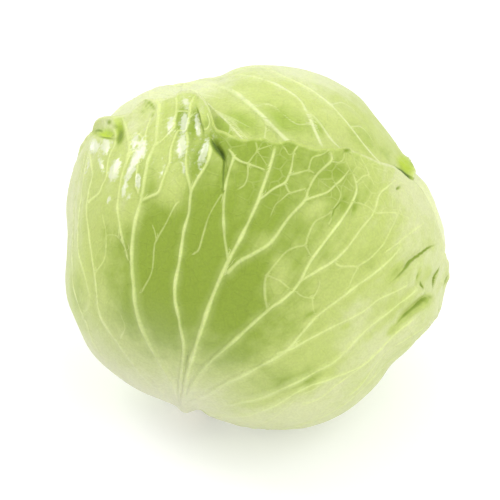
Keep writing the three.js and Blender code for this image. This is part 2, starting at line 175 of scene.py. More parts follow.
# ---------------------------------------------------------------- the head's envelope
def outline_radius(angle):
    count = len(OUTLINE_RADII)
    t = (angle / (2 * math.pi)) % 1 * count
    i = np.floor(t).astype(int)
    p = [OUTLINE_RADII[(i + k) % count] for k in (-1, 0, 1, 2)]
    return catmull_rom(*p, t - i)


def angle_from_down(d):
    return np.degrees(np.arccos(np.clip(-d[..., 2], -1, 1)))


def envelope(d):
    """The head's radius in each direction, with the flat spot that it stands on."""
    f = d @ FORWARD
    axial = between(BACK_RADIUS, FRONT_RADIUS, smooth(*BACK_TO_FRONT, f))
    outline = outline_radius(np.arctan2(d @ LEAN_UP, d @ SIDEWAYS))
    r = between(axial, outline, 1 - f * f)
    r = between(r, FOOT_RADIUS, 1 - smooth(*FOOT_ANGLES, angle_from_down(d)))
    down = -d[..., 2]
    floor = np.where(down > FLOOR_LEAST, CENTRE_HEIGHT / np.maximum(down, FLOOR_LEAST), NO_FLOOR)
    blend = np.maximum(FLOOR_BLEND - np.abs(r - floor), 0) / FLOOR_BLEND
    return np.minimum(r, floor) - blend * blend * FLOOR_BLEND / 4


def direction_of_pixels(pixels):
    """Directions from the head's centre to the places seen at these pixels."""
    pixels = np.atleast_2d(np.asarray(pixels, float))
    side = (pixels[:, :1] - FRAME_PIXELS / 2) * PIXEL_MM
    rise = (FRAME_PIXELS / 2 - pixels[:, 1:]) * PIXEL_MM
    ray = unit(-FORWARD * CAMERA_DISTANCE + SIDEWAYS * side + LEAN_UP * rise)
    b = ray @ CAMERA_PLACE
    r = np.full(len(pixels), float(FRONT_RADIUS))
    for _ in range(AIM_ROUNDS):
        inside = b * b - (CAMERA_PLACE @ CAMERA_PLACE - r * r)
        t = -b - np.sqrt(np.maximum(inside, 0))
        d = unit(CAMERA_PLACE + ray * t[:, None])
        r = (r + envelope(d)) / 2
    return d


def pixel_of(d):
    """Where a place on the envelope is seen, and whether it faces the camera."""
    ray = d * envelope(d)[:, None] - CAMERA_PLACE
    scale = CAMERA_DISTANCE / PIXEL_MM / -(ray @ FORWARD)
    x = FRAME_PIXELS / 2 + ray @ SIDEWAYS * scale
    y = FRAME_PIXELS / 2 - ray @ LEAN_UP * scale
    return x, y, smooth(*SEEN_FORWARD, d @ FORWARD)


# ---------------------------------------------------------------- hubs: polar places about a leaf's hub
def outline_direction(away, turn):
    across = SIDEWAYS * math.cos(turn * DEG) + LEAN_UP * math.sin(turn * DEG)
    return FORWARD * math.cos(away * DEG) + across * math.sin(away * DEG)


BUTT = outline_direction(BUTT_AWAY, BUTT_TURN)
BUTT_FRONT = unit(FORWARD - BUTT * (FORWARD @ BUTT))
BUTT_LEFT = np.cross(BUTT, BUTT_FRONT)


def angle_column(angle):
    """Angles in degrees as a column of radians, to be multiplied by directions."""
    return np.radians(np.asarray(angle, float))[..., None]


class Hub:
    """A point of a leaf, with the directions up, away from the butt, and left about it."""

    def __init__(self, tilt, around):
        side = BUTT_FRONT * math.cos(around * DEG) + BUTT_LEFT * math.sin(around * DEG)
        self.centre = BUTT * math.cos(tilt * DEG) + side * math.sin(tilt * DEG)
        self.up = side * math.cos(tilt * DEG) - BUTT * math.sin(tilt * DEG)
        self.left = np.cross(self.centre, self.up)

    def across(self, turn):
        turn = angle_column(turn)
        return self.up * np.cos(turn) + self.left * np.sin(turn)

    def direction(self, arc, turn):
        arc = angle_column(arc)
        return self.centre * np.cos(arc) + self.across(turn) * np.sin(arc)

    def along(self, arc, turn):
        """The way straight on from the hub, at a place."""
        arc = angle_column(arc)
        return self.across(turn) * np.cos(arc) - self.centre * np.sin(arc)

    def arc(self, d):
        return np.degrees(np.arccos(np.clip(d @ self.centre, -1, 1)))

    def turn(self, d):
        return np.degrees(np.arctan2(d @ self.left, d @ self.up))


FRONT_HUB = Hub(BASE_TILT, 0)
BACK_HUB = Hub(BASE_TILT, -137.5)
CROWN_HUB = Hub(128, 110)
RIGHT_HUB = Hub(BASE_TILT, -52.5)


# ---------------------------------------------------------------- the leaves' courses and margins
# A course runs over a leaf from its hub to its margin. First its turn to the left of straight up
# about the hub, at the hub, a third, two thirds and all of the way. Then the half width in mm of
# the rib along it, or 0 for none.
# A margin place is: turn about the hub, arc from it, how far the margin rolls outward in degrees,
# and how far it stands off in mm. On the front leaf's visible side it is a pixel, roll and lift.
FRONT_COURSES = [
    (116, 112, 108, 106, 0),
    (110, 103, 98, 97, 0.8),
    (103, 92, 90, 90, 1.0),
    (92, 74, 80, 84, 0),
    (62, 29, 52, 69, 0),
    (40, 13, 34, 56, 0),
    (30, 9.5, 25, 47, 0),
    (15, 5, 18, 29, 0),
    (3, 2.5, 5, 8, 0),
    (-20, -2.5, -13, -24, 0),
    (-42, -9.5, -26, -52, 0),
    (-53, -14.5, -33, -63, 0),
    (-66, -22, -43, -74, 0),
    (-80, -42, -58, -85, 0),
    (-92, -62, -72, -95, 0.8),
    (-102, -82, -87, -99, 0),
    (-112, -103, -104, -110, 0),
]
FRONT_MARGIN_HIDDEN = [
    (106, 48, 0, 0), (97, 76, 0, 0), (90, 94, 20, 0.5), (85, 102, 60, 0.7), (79, 105, 130, 1.0),
    (-76, 111, 20, 0.8), (-81, 108.5, 25, 1.2), (-86, 104.5, 25, 1.8), (-92, 98, 20, 2.4),
    (-99, 86, 10, 1.5), (-105, 68, 0, 0), (-108, 46, 0, 0),
]
FRONT_MARGIN_SEEN = [
    ((115, 119.5), 70, 0.6), ((120, 119), 35, 0.7),
    ((124, 117), 15, 0.6), ((133, 114), 10, 0.5), ((147, 106), 55, 1),
    ((153, 104), 80, 1.2), ((158, 102.5), 30, 0.8), ((166, 101), 15, 0.6),
    ((177, 98.5), 30, 0.8), ((186, 96), 45, 1.1), ((195, 96), 50, 1.4),
    ((201, 99), 45, 1.6), ((207, 104), 40, 1.8), ((211.5, 113), 40, 1.8), ((214, 121), 40, 1.7),
    ((215.5, 127.5), 40, 1.4), ((218.5, 132), 15, 0.7), ((227, 134), 5, 0.4), ((236, 139), 10, 0.4),
    ((243, 141), 8, 0.5), ((255, 139.5), 15, 0.5), ((264, 139.5), 10, 0.5), ((271, 142.5), 0, 0.4),
    ((281, 143.5), 10, 0.5), ((290, 142), 25, 0.6), ((298, 144.5), 10, 0.5), ((307, 148), 15, 0.6),
    ((314, 151), 25, 1), ((325, 151), 30, 1.2), ((337, 150.5), 35, 1.2), ((345, 148.5), 90, 1.2),
    ((351, 153), 50, 0.6), ((365, 157), 10, 0.3), ((377, 162), 10, 0.3), ((388, 165.5), 10, 0.3),
    ((394, 168.3), 5, 0.4), ((399.5, 172), 5, 0.4), ((403.5, 176), 5, 0.4), ((407.5, 179.7), 5, 0.4),
    ((411, 181.5), 5, 0.3), ((415, 184), 5, 0.3), ((420, 190.5), 5, 0.3), ((425.5, 199), 5, 0.3),
    ((434.8, 219.5), 10, 0.3), ((439, 236), 10, 0.4), ((441, 249), 15, 0.8),
]
BACK_COURSES = [
    (116, 108, 108, 108, 0),
    (98, 78, 84, 90, 1.0),
    (72, 46, 58, 66, 1.3),
    (48, 24, 36, 46, 1.5),
    (24, 9, 17, 25, 1.5),
    (0, 0, 0, 1, 2.6),
    (-24, -8, -15, -24, 1.5),
    (-48, -21, -33, -45, 1.5),
    (-70, -42, -54, -63, 1.3),
    (-94, -70, -78, -84, 1.0),
    (-114, -102, -104, -106, 0),
]
BACK_MARGIN = [
    (108, 44, 0, 0), (90, 62, 0, 0), (66, 74, 0, 0), (46, 88, 5, 0), (25, 106, 15, 0.3),
    (12, 109, 35, 0.8), (1, 112, 14, 0.3), (-10, 115, 30, 0.8), (-24, 117, 20, 0.3),
    (-36, 117, 10, 0.3), (-45, 116, 50, 1), (-63, 110, 10, 0), (-84, 98, 0, 0), (-106, 66, 0, 0),
]
CROWN_COURSES = [
    (180, 180, 180, 180, 2.8),
    (155, 157, 160, 162, 0),
    (132, 136, 142, 148, 1.1),
    (100, 104, 112, 120, 1.3),
    (70, 72, 78, 84, 1.4),
    (42, 43, 46, 50, 1.4),
    (18, 18, 19, 20, 1.1),
    (2, 1, 1, 1, 0),
    (-18, -22, -22, -14, 0),
    (-33, -33, -33, -36, 0),
    (-48, -48, -48, -43, 0),
    (-72, -66, -60, -56, 0.9),
    (-98, -92, -84, -78, 1.0),
    (-126, -124, -122, -118, 1.0),
    (-152, -154, -156, -156, 0),
]
CROWN_MARGIN = [
    (180, 118, 0, 0), (162, 106, 0, 0), (148, 96, 5, 0), (120, 84, 10, 0), (102, 80, 30, 0.4),
    (84, 78, 20, 0.3), (66, 79, 40, 0.8), (50, 82, 30, 0.5), (34, 84, 12, 0.2), (20, 85, 35, 0.8),
    (12, 86.5, 20, 0.3), (7, 88.5, 30, 0.4), (4, 91, 40, 0.5), (1, 94, 40, 0.5), (-3, 97, 20, 0.3),
    (-8, 96, 10, 0.2), (-14, 95, 0, 0), (-36, 92, 0, 0), (-43, 89, 0, 0), (-56, 76, 0, 0),
    (-78, 56, 0, 0), (-118, 50, 0, 0), (-156, 82, 0, 0),
]
RIGHT_COURSES = [
    (114, 100, 98, 96, 0),
    (88, 70, 74, 78, 1.0),
    (58, 38, 46, 54, 1.3),
    (30, 14, 22, 28, 1.5),
    (0, 0, 0, 0, 2.4),
    (-30, -14, -22, -28, 1.5),
    (-58, -38, -46, -54, 1.3),
    (-88, -70, -74, -78, 1.0),
    (-114, -100, -98, -96, 0),
]
RIGHT_MARGIN = [
    (96, 70, 0, 0), (78, 104, 0, 0), (54, 128, 10, 0.3), (28, 142, 20, 0.5), (0, 148, 10, 0.3),
    (-28, 148, 25, 0.6), (-54, 134, 10, 0.3), (-78, 104, 0, 0), (-96, 70, 0, 0),
]

# A course is followed in thirds, to just inside its end, and a course's number stays below that of
# the list's last one.
COURSE_END = 2.999999
INSIDE_LAST = 1.001


class Leaf:
    """A leaf's outline over the head, and the courses that its grid and its ribs follow."""

    def __init__(self, name, hub, courses, margin, whole_round=False, off_floor=False):
        self.name = name
        self.hub = hub
        self.whole_round = whole_round
        self.off_floor = off_floor
        self.start = 0 if whole_round else BASE_START
        self.turns = np.array([course[:4] for course in courses], float)
        self.ribs = [course[4] for course in courses]
        self.margin = np.array(sorted(margin), float)
        closing = self.margin[[0, -1]]
        if whole_round:
            beyond = closing[::-1] + np.array([[-360, 0, 0, 0], [360, 0, 0, 0]])
        else:
            beyond = closing + np.array([[-SIDE_CLOSE, 0, 0, 0], [SIDE_CLOSE, 0, 0, 0]])
            beyond[:, 1] = BASE_START
        self.cover = np.vstack([beyond[:1], self.margin, beyond[1:]])

    def margin_at(self, turn, column):
        """Column 1 of the margin's places is the arc, 2 the roll and 3 the lift."""
        return np.interp(turn, self.cover[:, 0], self.cover[:, column])

    def beyond_margin(self, d):
        """How far a place lies beyond the margin, in degrees, or inside it below 0."""
        return self.hub.arc(d) - self.margin_at(self.hub.turn(d), 1)

    def cover_at(self, d):
        """1 where the leaf lies over a place, and 0 well beyond its margin."""
        cover = 1 - smooth(*COVER_ANGLES, self.beyond_margin(d))
        return cover * smooth(*FLAT_ANGLES, angle_from_down(d)) if self.off_floor else cover

    def course_of(self, margin_turn):
        """The course, as a number between those of the list, that ends at this turn."""
        ends = self.turns[:, 3]
        count = len(ends)
        if self.whole_round:
            margin_turn = ends[0] - (ends[0] - margin_turn) % 360
            ends = np.append(ends, ends[0] - 360)
        return np.interp(-margin_turn, -ends, np.arange(len(ends))) % count

    def turn_on(self, course, share):
        """The turn about the hub of a point on a course, at this share of its length."""
        count = len(self.turns)
        whole = np.floor(course).astype(int)
        values = []
        for k in range(4):
            near = []
            for step in (-1, 0, 1, 2):
                index = whole + step
                if self.whole_round:
                    near.append(self.turns[index % count, k] - 360 * (index // count))
                else:
                    near.append(self.turns[np.clip(index, 0, count - 1), k])
            linear = between(near[1], near[2], course - whole)
            values.append(linear if k == 3 else catmull_rom(*near, course - whole))
        a, b, c, e = values
        ends = [2 * a - b, a, b, c, e, 2 * e - c]
        t = np.minimum(share * 3, COURSE_END)
        part = np.floor(t).astype(int)
        p = [np.choose(part, ends[k:k + 3]) for k in range(4)]
        return catmull_rom(*p, t - part)

    def place_on(self, course, share):
        """The direction of a place on a course, at this share of its length."""
        course = np.atleast_1d(np.clip(course, 0, len(self.turns) - INSIDE_LAST))
        share = np.atleast_1d(share)
        turn = self.turn_on(course, share)
        return self.hub.direction(between(self.start, self.margin_at(turn, 1), share), turn)[0]


def seen_margin(places):
    rows = []
    for pixel, roll, lift in places:
        d = direction_of_pixels(pixel)[0]
        rows.append((float(FRONT_HUB.turn(d)), float(FRONT_HUB.arc(d)), roll, lift))
    return rows


FRONT = Leaf(
    "leaf_front", FRONT_HUB, FRONT_COURSES,
    FRONT_MARGIN_HIDDEN + seen_margin(FRONT_MARGIN_SEEN), off_floor=True,
)
BACK = Leaf("leaf_back", BACK_HUB, BACK_COURSES, BACK_MARGIN)
CROWN = Leaf("leaf_crown", CROWN_HUB, CROWN_COURSES, CROWN_MARGIN, whole_round=True)
RIGHT = Leaf("leaf_right", RIGHT_HUB, RIGHT_COURSES, RIGHT_MARGIN)
LEAVES = [FRONT, BACK, CROWN, RIGHT]


def under(layer, d):
    """How deep a layer lies under the envelope, and how open it is to be seen."""
    depth = np.zeros(len(d))
    open_share = np.ones(len(d))
    for leaf in LEAVES[:layer]:
        cover = leaf.cover_at(d)
        depth += cover * LAYER_STEP
        open_share *= 1 - cover
    return depth, open_share


# ---------------------------------------------------------------- veins
# A vein is its half width in mm at its start and at its end, its height, and the places it runs
# through. The strong veins of the front leaf fan out from its base; the others join them.
FRONT_STRONG_VEINS = [
    (2.6, 0.95, 1.6, [(185, 409), (186, 384), (192, 360), (202, 328), (214, 293), (228, 262),
        (242, 236), (257, 204), (262, 190), (268, 173), (272, 160), (276, 144)]),
    (2.2, 0.7, 1.2, [(187, 396), (204, 367), (236, 338), (268, 310), (283, 299), (296, 286),
        (303, 274), (312, 258), (331, 233), (341, 220), (352, 202), (356, 190), (355, 180),
        (351, 168)]),
    (1.9, 0.8, 0.9, [(189, 402), (210, 392), (230, 380), (259, 366), (286, 350), (300, 334),
        (315, 317), (338, 299), (355, 286), (377, 270), (391, 258), (404, 243)]),
    (1.9, 0.8, 0.9, [(190, 406), (215, 405), (240, 401), (260, 396), (289, 384), (316, 371),
        (336, 359), (355, 340), (371, 325), (391, 309), (406, 295), (418, 285)]),
    (1.6, 0.7, 0.7, [(192, 411), (215, 415), (245, 414), (275, 404), (303, 388), (333, 377),
        (359, 366), (371, 357), (386, 341), (399, 326), (412, 312)]),
    (1.6, 0.9, 1.2, [(184, 407), (184, 357), (180, 322), (176, 300), (176, 284), (180, 262),
        (184, 232), (189, 213), (191, 194), (195.2, 184), (201.5, 174), (207.8, 164.4),
        (211.3, 155), (211.7, 146), (209.9, 139)]),
    (2.0, 1.2, 1.6, [(183, 405), (175, 386), (168, 373), (157, 355), (147, 336), (138, 309),
        (135, 285), (133, 256), (135, 230), (142, 197), (146, 174), (149, 160), (153, 149.6),
        (156, 140.5), (157.6, 128.6), (158.9, 118), (160, 107.5), (159, 101)]),
    (1.9, 0.7, 1.1, [(182, 407), (168, 398), (157, 387), (137, 368), (121, 347), (107, 327),
        (99.5, 309), (96.5, 281), (92, 255), (89, 230), (87, 208), (89, 194), (92, 181), (93, 173),
        (91, 159), (89.7, 147)]),
    (1.8, 0.7, 1.0, [(181, 408), (160, 400), (137, 387), (107, 359), (92, 338), (85, 320),
        (76, 296), (71, 270), (69, 245), (70, 215), (75, 185)]),
    (1.5, 0.7, 0.9, [(84, 318), (91, 300), (84, 271), (78, 252), (76.5, 230), (80, 200), (85, 170),
        (91, 145)]),
]
FRONT_MIDDLE_VEINS = [
    (1.0, 0.75, 0.8, [(228, 257), (225, 240), (223.7, 220), (223.7, 205), (225.3, 188),
        (229.5, 170), (233.5, 157), (228, 149)]),
    (1.4, 0.8, 0.9, [(229, 271), (240, 261), (253, 254), (271, 242), (287, 220), (296, 210),
        (305, 200), (308, 190), (315, 177), (323.5, 168.5), (330.3, 162), (330, 157), (327, 152)]),
    (1.0, 0.6, 0.6, [(295, 287), (300, 281), (318, 270), (333, 261), (346, 249), (362, 228),
        (373, 214), (379, 195), (387, 187), (395, 180)]),
    (1.0, 0.6, 0.6, [(280, 352), (289, 349), (312, 337), (338, 324), (362, 312), (377, 300),
        (390, 293), (404, 284)]),
    (0.9, 0.5, 0.6, [(307, 403), (322, 396), (336, 384), (355, 371), (372, 357), (385, 345)]),
    (0.9, 0.5, 0.6, [(352, 392), (362, 382), (378, 362), (391, 346), (406, 331), (420, 316)]),
    (1.0, 0.8, 1.0, [(191, 195), (190.3, 187), (187.5, 174), (186.8, 160), (187.8, 149.6),
        (188.2, 139), (186.4, 131), (188.5, 121.6), (189.9, 113), (191.7, 106), (196, 100)]),
    (0.9, 0.8, 1.0, [(143, 200), (152, 196), (158.7, 192.5), (162.2, 182.6), (165.7, 172.8),
        (169.9, 163), (170.6, 156.7), (171.3, 149.6), (174, 140.5), (178.3, 131.6), (182.5, 131.3),
        (186.4, 132)]),
    (0.8, 0.75, 0.9, [(156.6, 144.7), (162.9, 139.8), (170.6, 132.8), (174.8, 128), (175, 122),
        (176.6, 113), (178, 99)]),
    (0.6, 0.5, 0.6, [(177, 112), (182, 111.5), (189.5, 112)]),
    (0.6, 0.5, 0.5, [(210, 120), (211.3, 125), (210, 129), (207, 131.5), (203.5, 131)]),
    (0.6, 0.6, 0.7, [(189, 119), (191.5, 116.5), (195, 114), (199, 113)]),
    (0.9, 0.8, 1.0, [(133, 268), (126, 249), (118.5, 212), (119.2, 197.7), (120.6, 183.7),
        (125.5, 166), (129, 152), (129, 143.7), (127, 131), (124, 118)]),
    (0.8, 0.7, 0.9, [(91, 201), (99.6, 194), (103, 185.8), (107.3, 176.7), (108, 166), (110, 157),
        (115, 145), (115.7, 136.7), (113.5, 129)]),
    (0.7, 0.6, 0.8, [(142, 199), (136.8, 188.6), (136, 180), (138.2, 166), (141.7, 154),
        (145.2, 142), (146, 133.5), (149, 123.7), (151.7, 116.7), (156, 110)]),
    (0.6, 0.5, 0.6, [(129, 152), (131, 142), (132.7, 136), (136, 133.5), (141, 136), (144.5, 145)]),
    (0.6, 0.5, 0.6, [(125.5, 168), (129, 158), (132, 152.5), (136, 150.5), (139, 154), (139, 163)]),
    (0.7, 0.5, 0.7, [(78, 182), (82, 166), (84, 155), (86, 147)]),
    (0.7, 0.6, 0.7, [(233.5, 157), (240.3, 161.7), (247.8, 164.2), (260.3, 168.3), (267, 171)]),
    (0.8, 0.6, 0.6, [(263, 197), (273.7, 189), (284.5, 183.3), (288.7, 175.8), (291.2, 168.3),
        (293.7, 153.3), (298, 146.5)]),
    (0.8, 0.6, 0.6, [(305.5, 200), (315.3, 196.7), (327, 192.5), (335.3, 185), (342, 179),
        (350, 169)]),
]
FRONT_FINE_VEINS = [
    (0.75, 0.45, 0.45, [(259, 424), (281, 412), (292, 402), (300, 396), (322, 384)]),
    (0.7, 0.5, 0.5, [(97, 271), (105, 258), (106, 234), (103, 214)]),
    (0.6, 0.45, 0.35, [(143, 290), (152, 272), (154.5, 249), (156, 242), (166, 224), (175, 206),
        (180, 201)]),
    (0.5, 0.35, 0.35, [(157, 240), (155, 231), (152, 224)]),
    (0.6, 0.45, 0.35, [(195, 253), (199, 249), (204, 232), (209, 216), (218, 200), (223, 193)]),
    (0.55, 0.4, 0.35, [(121, 337), (125, 327), (121, 314)]),
    (0.55, 0.4, 0.35, [(131, 264), (125, 247), (117, 236), (106, 235)]),
    (0.6, 0.5, 0.5, [(247.8, 164.2), (252, 158.3), (257, 150.8), (255.5, 142)]),
    (0.5, 0.45, 0.4, [(257, 150.8), (263.7, 148.3), (273.7, 145)]),
    (0.5, 0.45, 0.4, [(257, 151.5), (262.8, 159.2), (267.8, 167)]),
    (0.5, 0.4, 0.3, [(247.8, 164.5), (247.8, 175), (244.5, 185), (237, 190)]),
    (0.65, 0.55, 0.5, [(288.7, 175.8), (297, 173.7), (307.8, 171.3), (315.3, 174.5)]),
    (0.6, 0.5, 0.5, [(307.8, 171.3), (310.3, 161.7), (312.8, 158.3), (322, 155.8), (327, 152)]),
    (0.5, 0.45, 0.4, [(330.3, 162.5), (338.7, 163), (342.8, 159.2), (343.7, 153.3)]),
    (0.55, 0.5, 0.4, [(284.5, 183.3), (289.5, 192.5), (298, 191), (307.5, 188.3)]),
    (0.5, 0.4, 0.35, [(289.5, 192.5), (281.2, 200), (275.3, 205), (270.3, 216.7)]),
    (0.55, 0.5, 0.5, [(335.3, 185), (340.3, 193.3), (338.7, 201), (332.8, 211), (331, 220),
        (328, 226)]),
    (0.5, 0.4, 0.35, [(293.5, 154), (288.7, 155), (285.3, 150), (282, 147)]),
    (0.8, 0.55, 0.5, [(267.5, 309), (265, 296), (265, 282), (267, 275), (276, 263), (286, 252),
        (296, 247), (305, 245), (308, 236), (315, 222), (327, 215), (333, 210)]),
    (0.6, 0.5, 0.4, [(267, 275), (280, 281), (290, 289)]),
    (0.6, 0.5, 0.4, [(305, 245), (311, 257)]),
    (0.6, 0.5, 0.4, [(334, 261.5), (340, 266), (356, 267), (352, 277), (347.5, 289)]),
    (0.6, 0.5, 0.4, [(356, 267), (370, 258), (382, 246), (388, 236), (397, 216), (400, 200)]),
    (0.5, 0.4, 0.3, [(294, 290), (302, 296), (312, 297), (318, 288), (320, 279)]),
    (0.5, 0.4, 0.3, [(312, 297), (313, 308), (316, 316)]),
    (0.6, 0.5, 0.4, [(353, 202), (362, 204), (370, 208), (374, 213)]),
    (0.6, 0.5, 0.4, [(356, 184), (358, 181), (364, 176), (370, 177), (375, 187)]),
    (0.6, 0.5, 0.4, [(375, 213), (396, 213), (410, 219)]),
    (0.6, 0.45, 0.4, [(368, 173), (365, 166), (358, 156)]),
    (0.7, 0.5, 0.4, [(387, 251), (410, 233), (424, 222)]),
]
CROWN_STRONG_VEINS = [
    (2.8, 1.1, 1.5, [(180, 82), (200, 80), (220, 86), (240, 97), (260, 114), (281, 133), (297, 146),
        (312, 153), (330, 158)]),
    (2.2, 0.9, 1.0, [(190, 80), (210, 76), (232, 75), (250, 77), (266, 81), (284, 89), (299, 100),
        (306, 112), (315, 130), (326, 150)]),
    (1.6, 0.8, 0.8, [(235, 70), (261, 66), (281, 75), (297, 83), (312, 91), (330, 106), (350, 127),
        (373, 152), (391, 170)]),
    (1.2, 0.7, 0.6, [(306, 112), (313, 117), (330, 136), (343, 148), (352, 158)]),
]
CROWN_FINE_VEINS = [
    (0.8, 0.5, 0.4, [(264, 118), (266, 126), (264, 140)]),
    (0.7, 0.4, 0.4, [(265, 104), (272, 105), (286, 117), (298, 124), (312, 123)]),
    (0.7, 0.4, 0.3, [(226, 115), (234, 122), (242, 131), (250, 140)]),
    (0.7, 0.4, 0.4, [(330, 106), (345, 104), (362, 118)]),
    (0.7, 0.4, 0.4, [(350, 127), (362, 128), (375, 142)]),
    (0.6, 0.4, 0.3, [(297, 83), (312, 80), (326, 88)]),
]
# On the other leaves and courses, side veins leave the ribs in turn to the left and to the right,
# every step of a rib's length. Each reaches a share of the way to the next course, over a run.
SIDE_VEIN_SPAN = (0.16, 0.9)
SIDE_VEIN_STEP = 0.105
SIDE_VEIN_UNEVEN = 0.03
SIDE_VEIN_REACH = (0.38, 0.62)
SIDE_VEIN_RUN = 0.15
SIDE_VEIN_RUN_UNEVEN = (0.8, 1.2)
SIDE_VEIN_BEND = (0.6, 0.85)
SIDE_VEIN_POINTS = 6
SIDE_VEIN_HALF = (0.75, 0.4)
SIDE_VEIN_HEIGHT = 0.45
SIDE_VEIN_SEED = 5
RIB_SPAN = (0.03, 0.98)
RIB_POINTS = 14
RIB_TIP_HALF = 0.6
RIB_HEIGHT_SHARE = 0.55

# The strength of a vein's colour at its start and at its end, and the length in mm that its tip
# fades over.
STRONG_INK = (0.25, 0.85, 7)
MIDDLE_INK = (0.72, 0.66, 2)
FINE_INK = (0.46, 0.4, 2)
SIDE_INK = (0.5, 0.3, 7)
INK_END_FROM = 0.6

# A vein is followed in steps, as samples with a place, a way along, a half width and a height.
SAMPLE_STEP = 0.7
VEIN_TAPER = 0.35
VEIN_LOWER = 0.3
VEIN_UNEVEN = 0.4
VEIN_UNEVEN_LENGTH = 8
SHELL_RADIUS = 93


def along_curve(points):
    """A smooth curve through directions from the head's centre, as samples about a step apart."""
    points = np.asarray(points, float)
    knots = np.vstack([2 * points[0] - points[1], points, 2 * points[-1] - points[-2]])
    pieces = []
    for i in range(1, len(knots) - 2):
        length = np.linalg.norm(knots[i + 1] - knots[i]) * SHELL_RADIUS
        f = np.arange(0, 1, SAMPLE_STEP / max(length, SAMPLE_STEP))[:, None]
        pieces.append(catmull_rom(knots[i - 1], knots[i], knots[i + 1], knots[i + 2], f))
    pieces.append(knots[-2:-1])
    return unit(np.vstack(pieces))


def vein_samples(veins, ink_start, ink_end, fade):
    """One row per sample: place (3), way along (3), half width, height and strength of colour."""
    rows = []
    for half_start, half_end, height, points in veins:
        d = along_curve(points)
        way = unit(np.gradient(d, axis=0))
        t = np.linspace(0, 1, len(d))[:, None]
        tip = smooth(0, fade, (1 - t) * len(d) * SAMPLE_STEP)
        uneven = 1 + VEIN_UNEVEN * noise_values(d * SHELL_RADIUS, VEIN_UNEVEN_LENGTH)[:, None]
        half = between(half_start, half_end, t ** VEIN_TAPER) * uneven
        rise = height * (1 - VEIN_LOWER * t) * tip * uneven
        ink = between(ink_start, ink_end, smooth(0, INK_END_FROM, t)) * tip * uneven
        rows.append(np.hstack([d * SHELL_RADIUS, way, half, rise, ink]))
    return np.vstack(rows)


def pixel_veins(veins):
    return [(a, b, height, direction_of_pixels(places)) for a, b, height, places in veins]


def side_vein(leaf, index, begin, reach, run, bend):
    """A side vein that leaves a rib at a share of its length, and bends toward the margin."""
    steps = np.linspace(0, 1, SIDE_VEIN_POINTS)
    places = [leaf.place_on(index + reach * s, begin + run * s ** bend) for s in steps]
    return (*SIDE_VEIN_HALF, SIDE_VEIN_HEIGHT, places)


def course_veins(leaf, rng):
    """The ribs along a leaf's courses, and the side veins between them."""
    ribs = []
    sides = []
    for index, half in enumerate(leaf.ribs):
        if half == 0:
            continue
        places = [leaf.place_on(index, share) for share in np.linspace(*RIB_SPAN, RIB_POINTS)]
        ribs.append((half, RIB_TIP_HALF, half * RIB_HEIGHT_SHARE, places))
        side = 1
        for share in np.arange(*SIDE_VEIN_SPAN, SIDE_VEIN_STEP):
            begin = share + rng.uniform(-SIDE_VEIN_UNEVEN, SIDE_VEIN_UNEVEN)
            reach = side * rng.uniform(*SIDE_VEIN_REACH)
            run = SIDE_VEIN_RUN * rng.uniform(*SIDE_VEIN_RUN_UNEVEN)
            bend = rng.uniform(*SIDE_VEIN_BEND)
            sides.append(side_vein(leaf, index, begin, reach, run, bend))
            side = -side
    return ribs, sides


# What a field of veins says of each place, in rows: the distance from the nearest vein, the same
# with its side as the sign, and that vein's half width, height and strength of colour.
AWAY, SIDE, HALF, RISE, INK = range(5)


class VeinField:
    """How far the points of a leaf are from its nearest vein, and what that vein is like."""

    def __init__(self, *groups):
        self.samples = np.vstack([vein_samples(*group) for group in groups if group[0]])
        self.tree = tree_of(self.samples[:, :3])

    def near(self, d):
        places = d * SHELL_RADIUS
        found = np.array([self.tree.find(place)[1] for place in places])
        sample = self.samples[found]
        offset = places - sample[:, :3]
        along = np.sum(offset * sample[:, 3:6], axis=1)
        away = np.sqrt(np.maximum(np.sum(offset * offset, axis=1) - along * along, 0))
        past_end = np.maximum(np.abs(along) - SAMPLE_STEP, 0)
        away = np.hypot(away, past_end)
        side = np.sign(np.sum(np.cross(d, sample[:, 3:6]) * offset, axis=1))
        return np.stack([away, side * away, *sample[:, 6:9].T])


# The net of the finest veins parts the leaf into cells, about as wide as this, round scattered
# seeds. The cells' lines waver, and show in patches.
NET_CELL = 7.2
NET_CELL_AREA = 0.87
NET_SEED = 11
NET_SCATTER = 0.3
NET_WARP = 1.3
NET_WARP_SIZE = 9
NET_PATCH = 24
NET_PATCH_SHIFT = 3.0
NET_PATCH_INK = (-0.05, 0.3)


def net_seeds():
    """The middles of the net's cells, spread evenly over a sphere and then scattered."""
    count = int(4 * math.pi * SHELL_RADIUS ** 2 / (NET_CELL ** 2 * NET_CELL_AREA))
    rng = np.random.default_rng(NET_SEED)
    k = np.arange(count) + 0.5
    polar = np.arccos(1 - 2 * k / count)
    turn = math.pi * (1 + math.sqrt(5)) * k
    seeds = np.stack([np.cos(turn) * np.sin(polar), np.sin(turn) * np.sin(polar), np.cos(polar)], 1)
    scatter = rng.normal(0, NET_SCATTER * NET_CELL / SHELL_RADIUS, seeds.shape)
    return unit(seeds + scatter) * SHELL_RADIUS


def net_field(d):
    """How far the points are from the nearest line of the net, signed by its two sides."""
    seeds = net_seeds()
    tree = tree_of(seeds)
    places = d * SHELL_RADIUS
    places = places + NET_WARP * noise_vectors(places, NET_WARP_SIZE)
    found = np.array([[hit[1] for hit in tree.find_n(place, 2)] for place in places])
    a = seeds[found[:, 0]]
    b = seeds[found[:, 1]]
    gap = np.sum((places - b) ** 2, axis=1) - np.sum((places - a) ** 2, axis=1)
    away = gap / (2 * np.linalg.norm(a - b, axis=1))
    ink = smooth(*NET_PATCH_INK, noise_values(d * SHELL_RADIUS, NET_PATCH, NET_PATCH_SHIFT))
    return away, away * np.sign(found[:, 0] - found[:, 1] + 0.5), ink


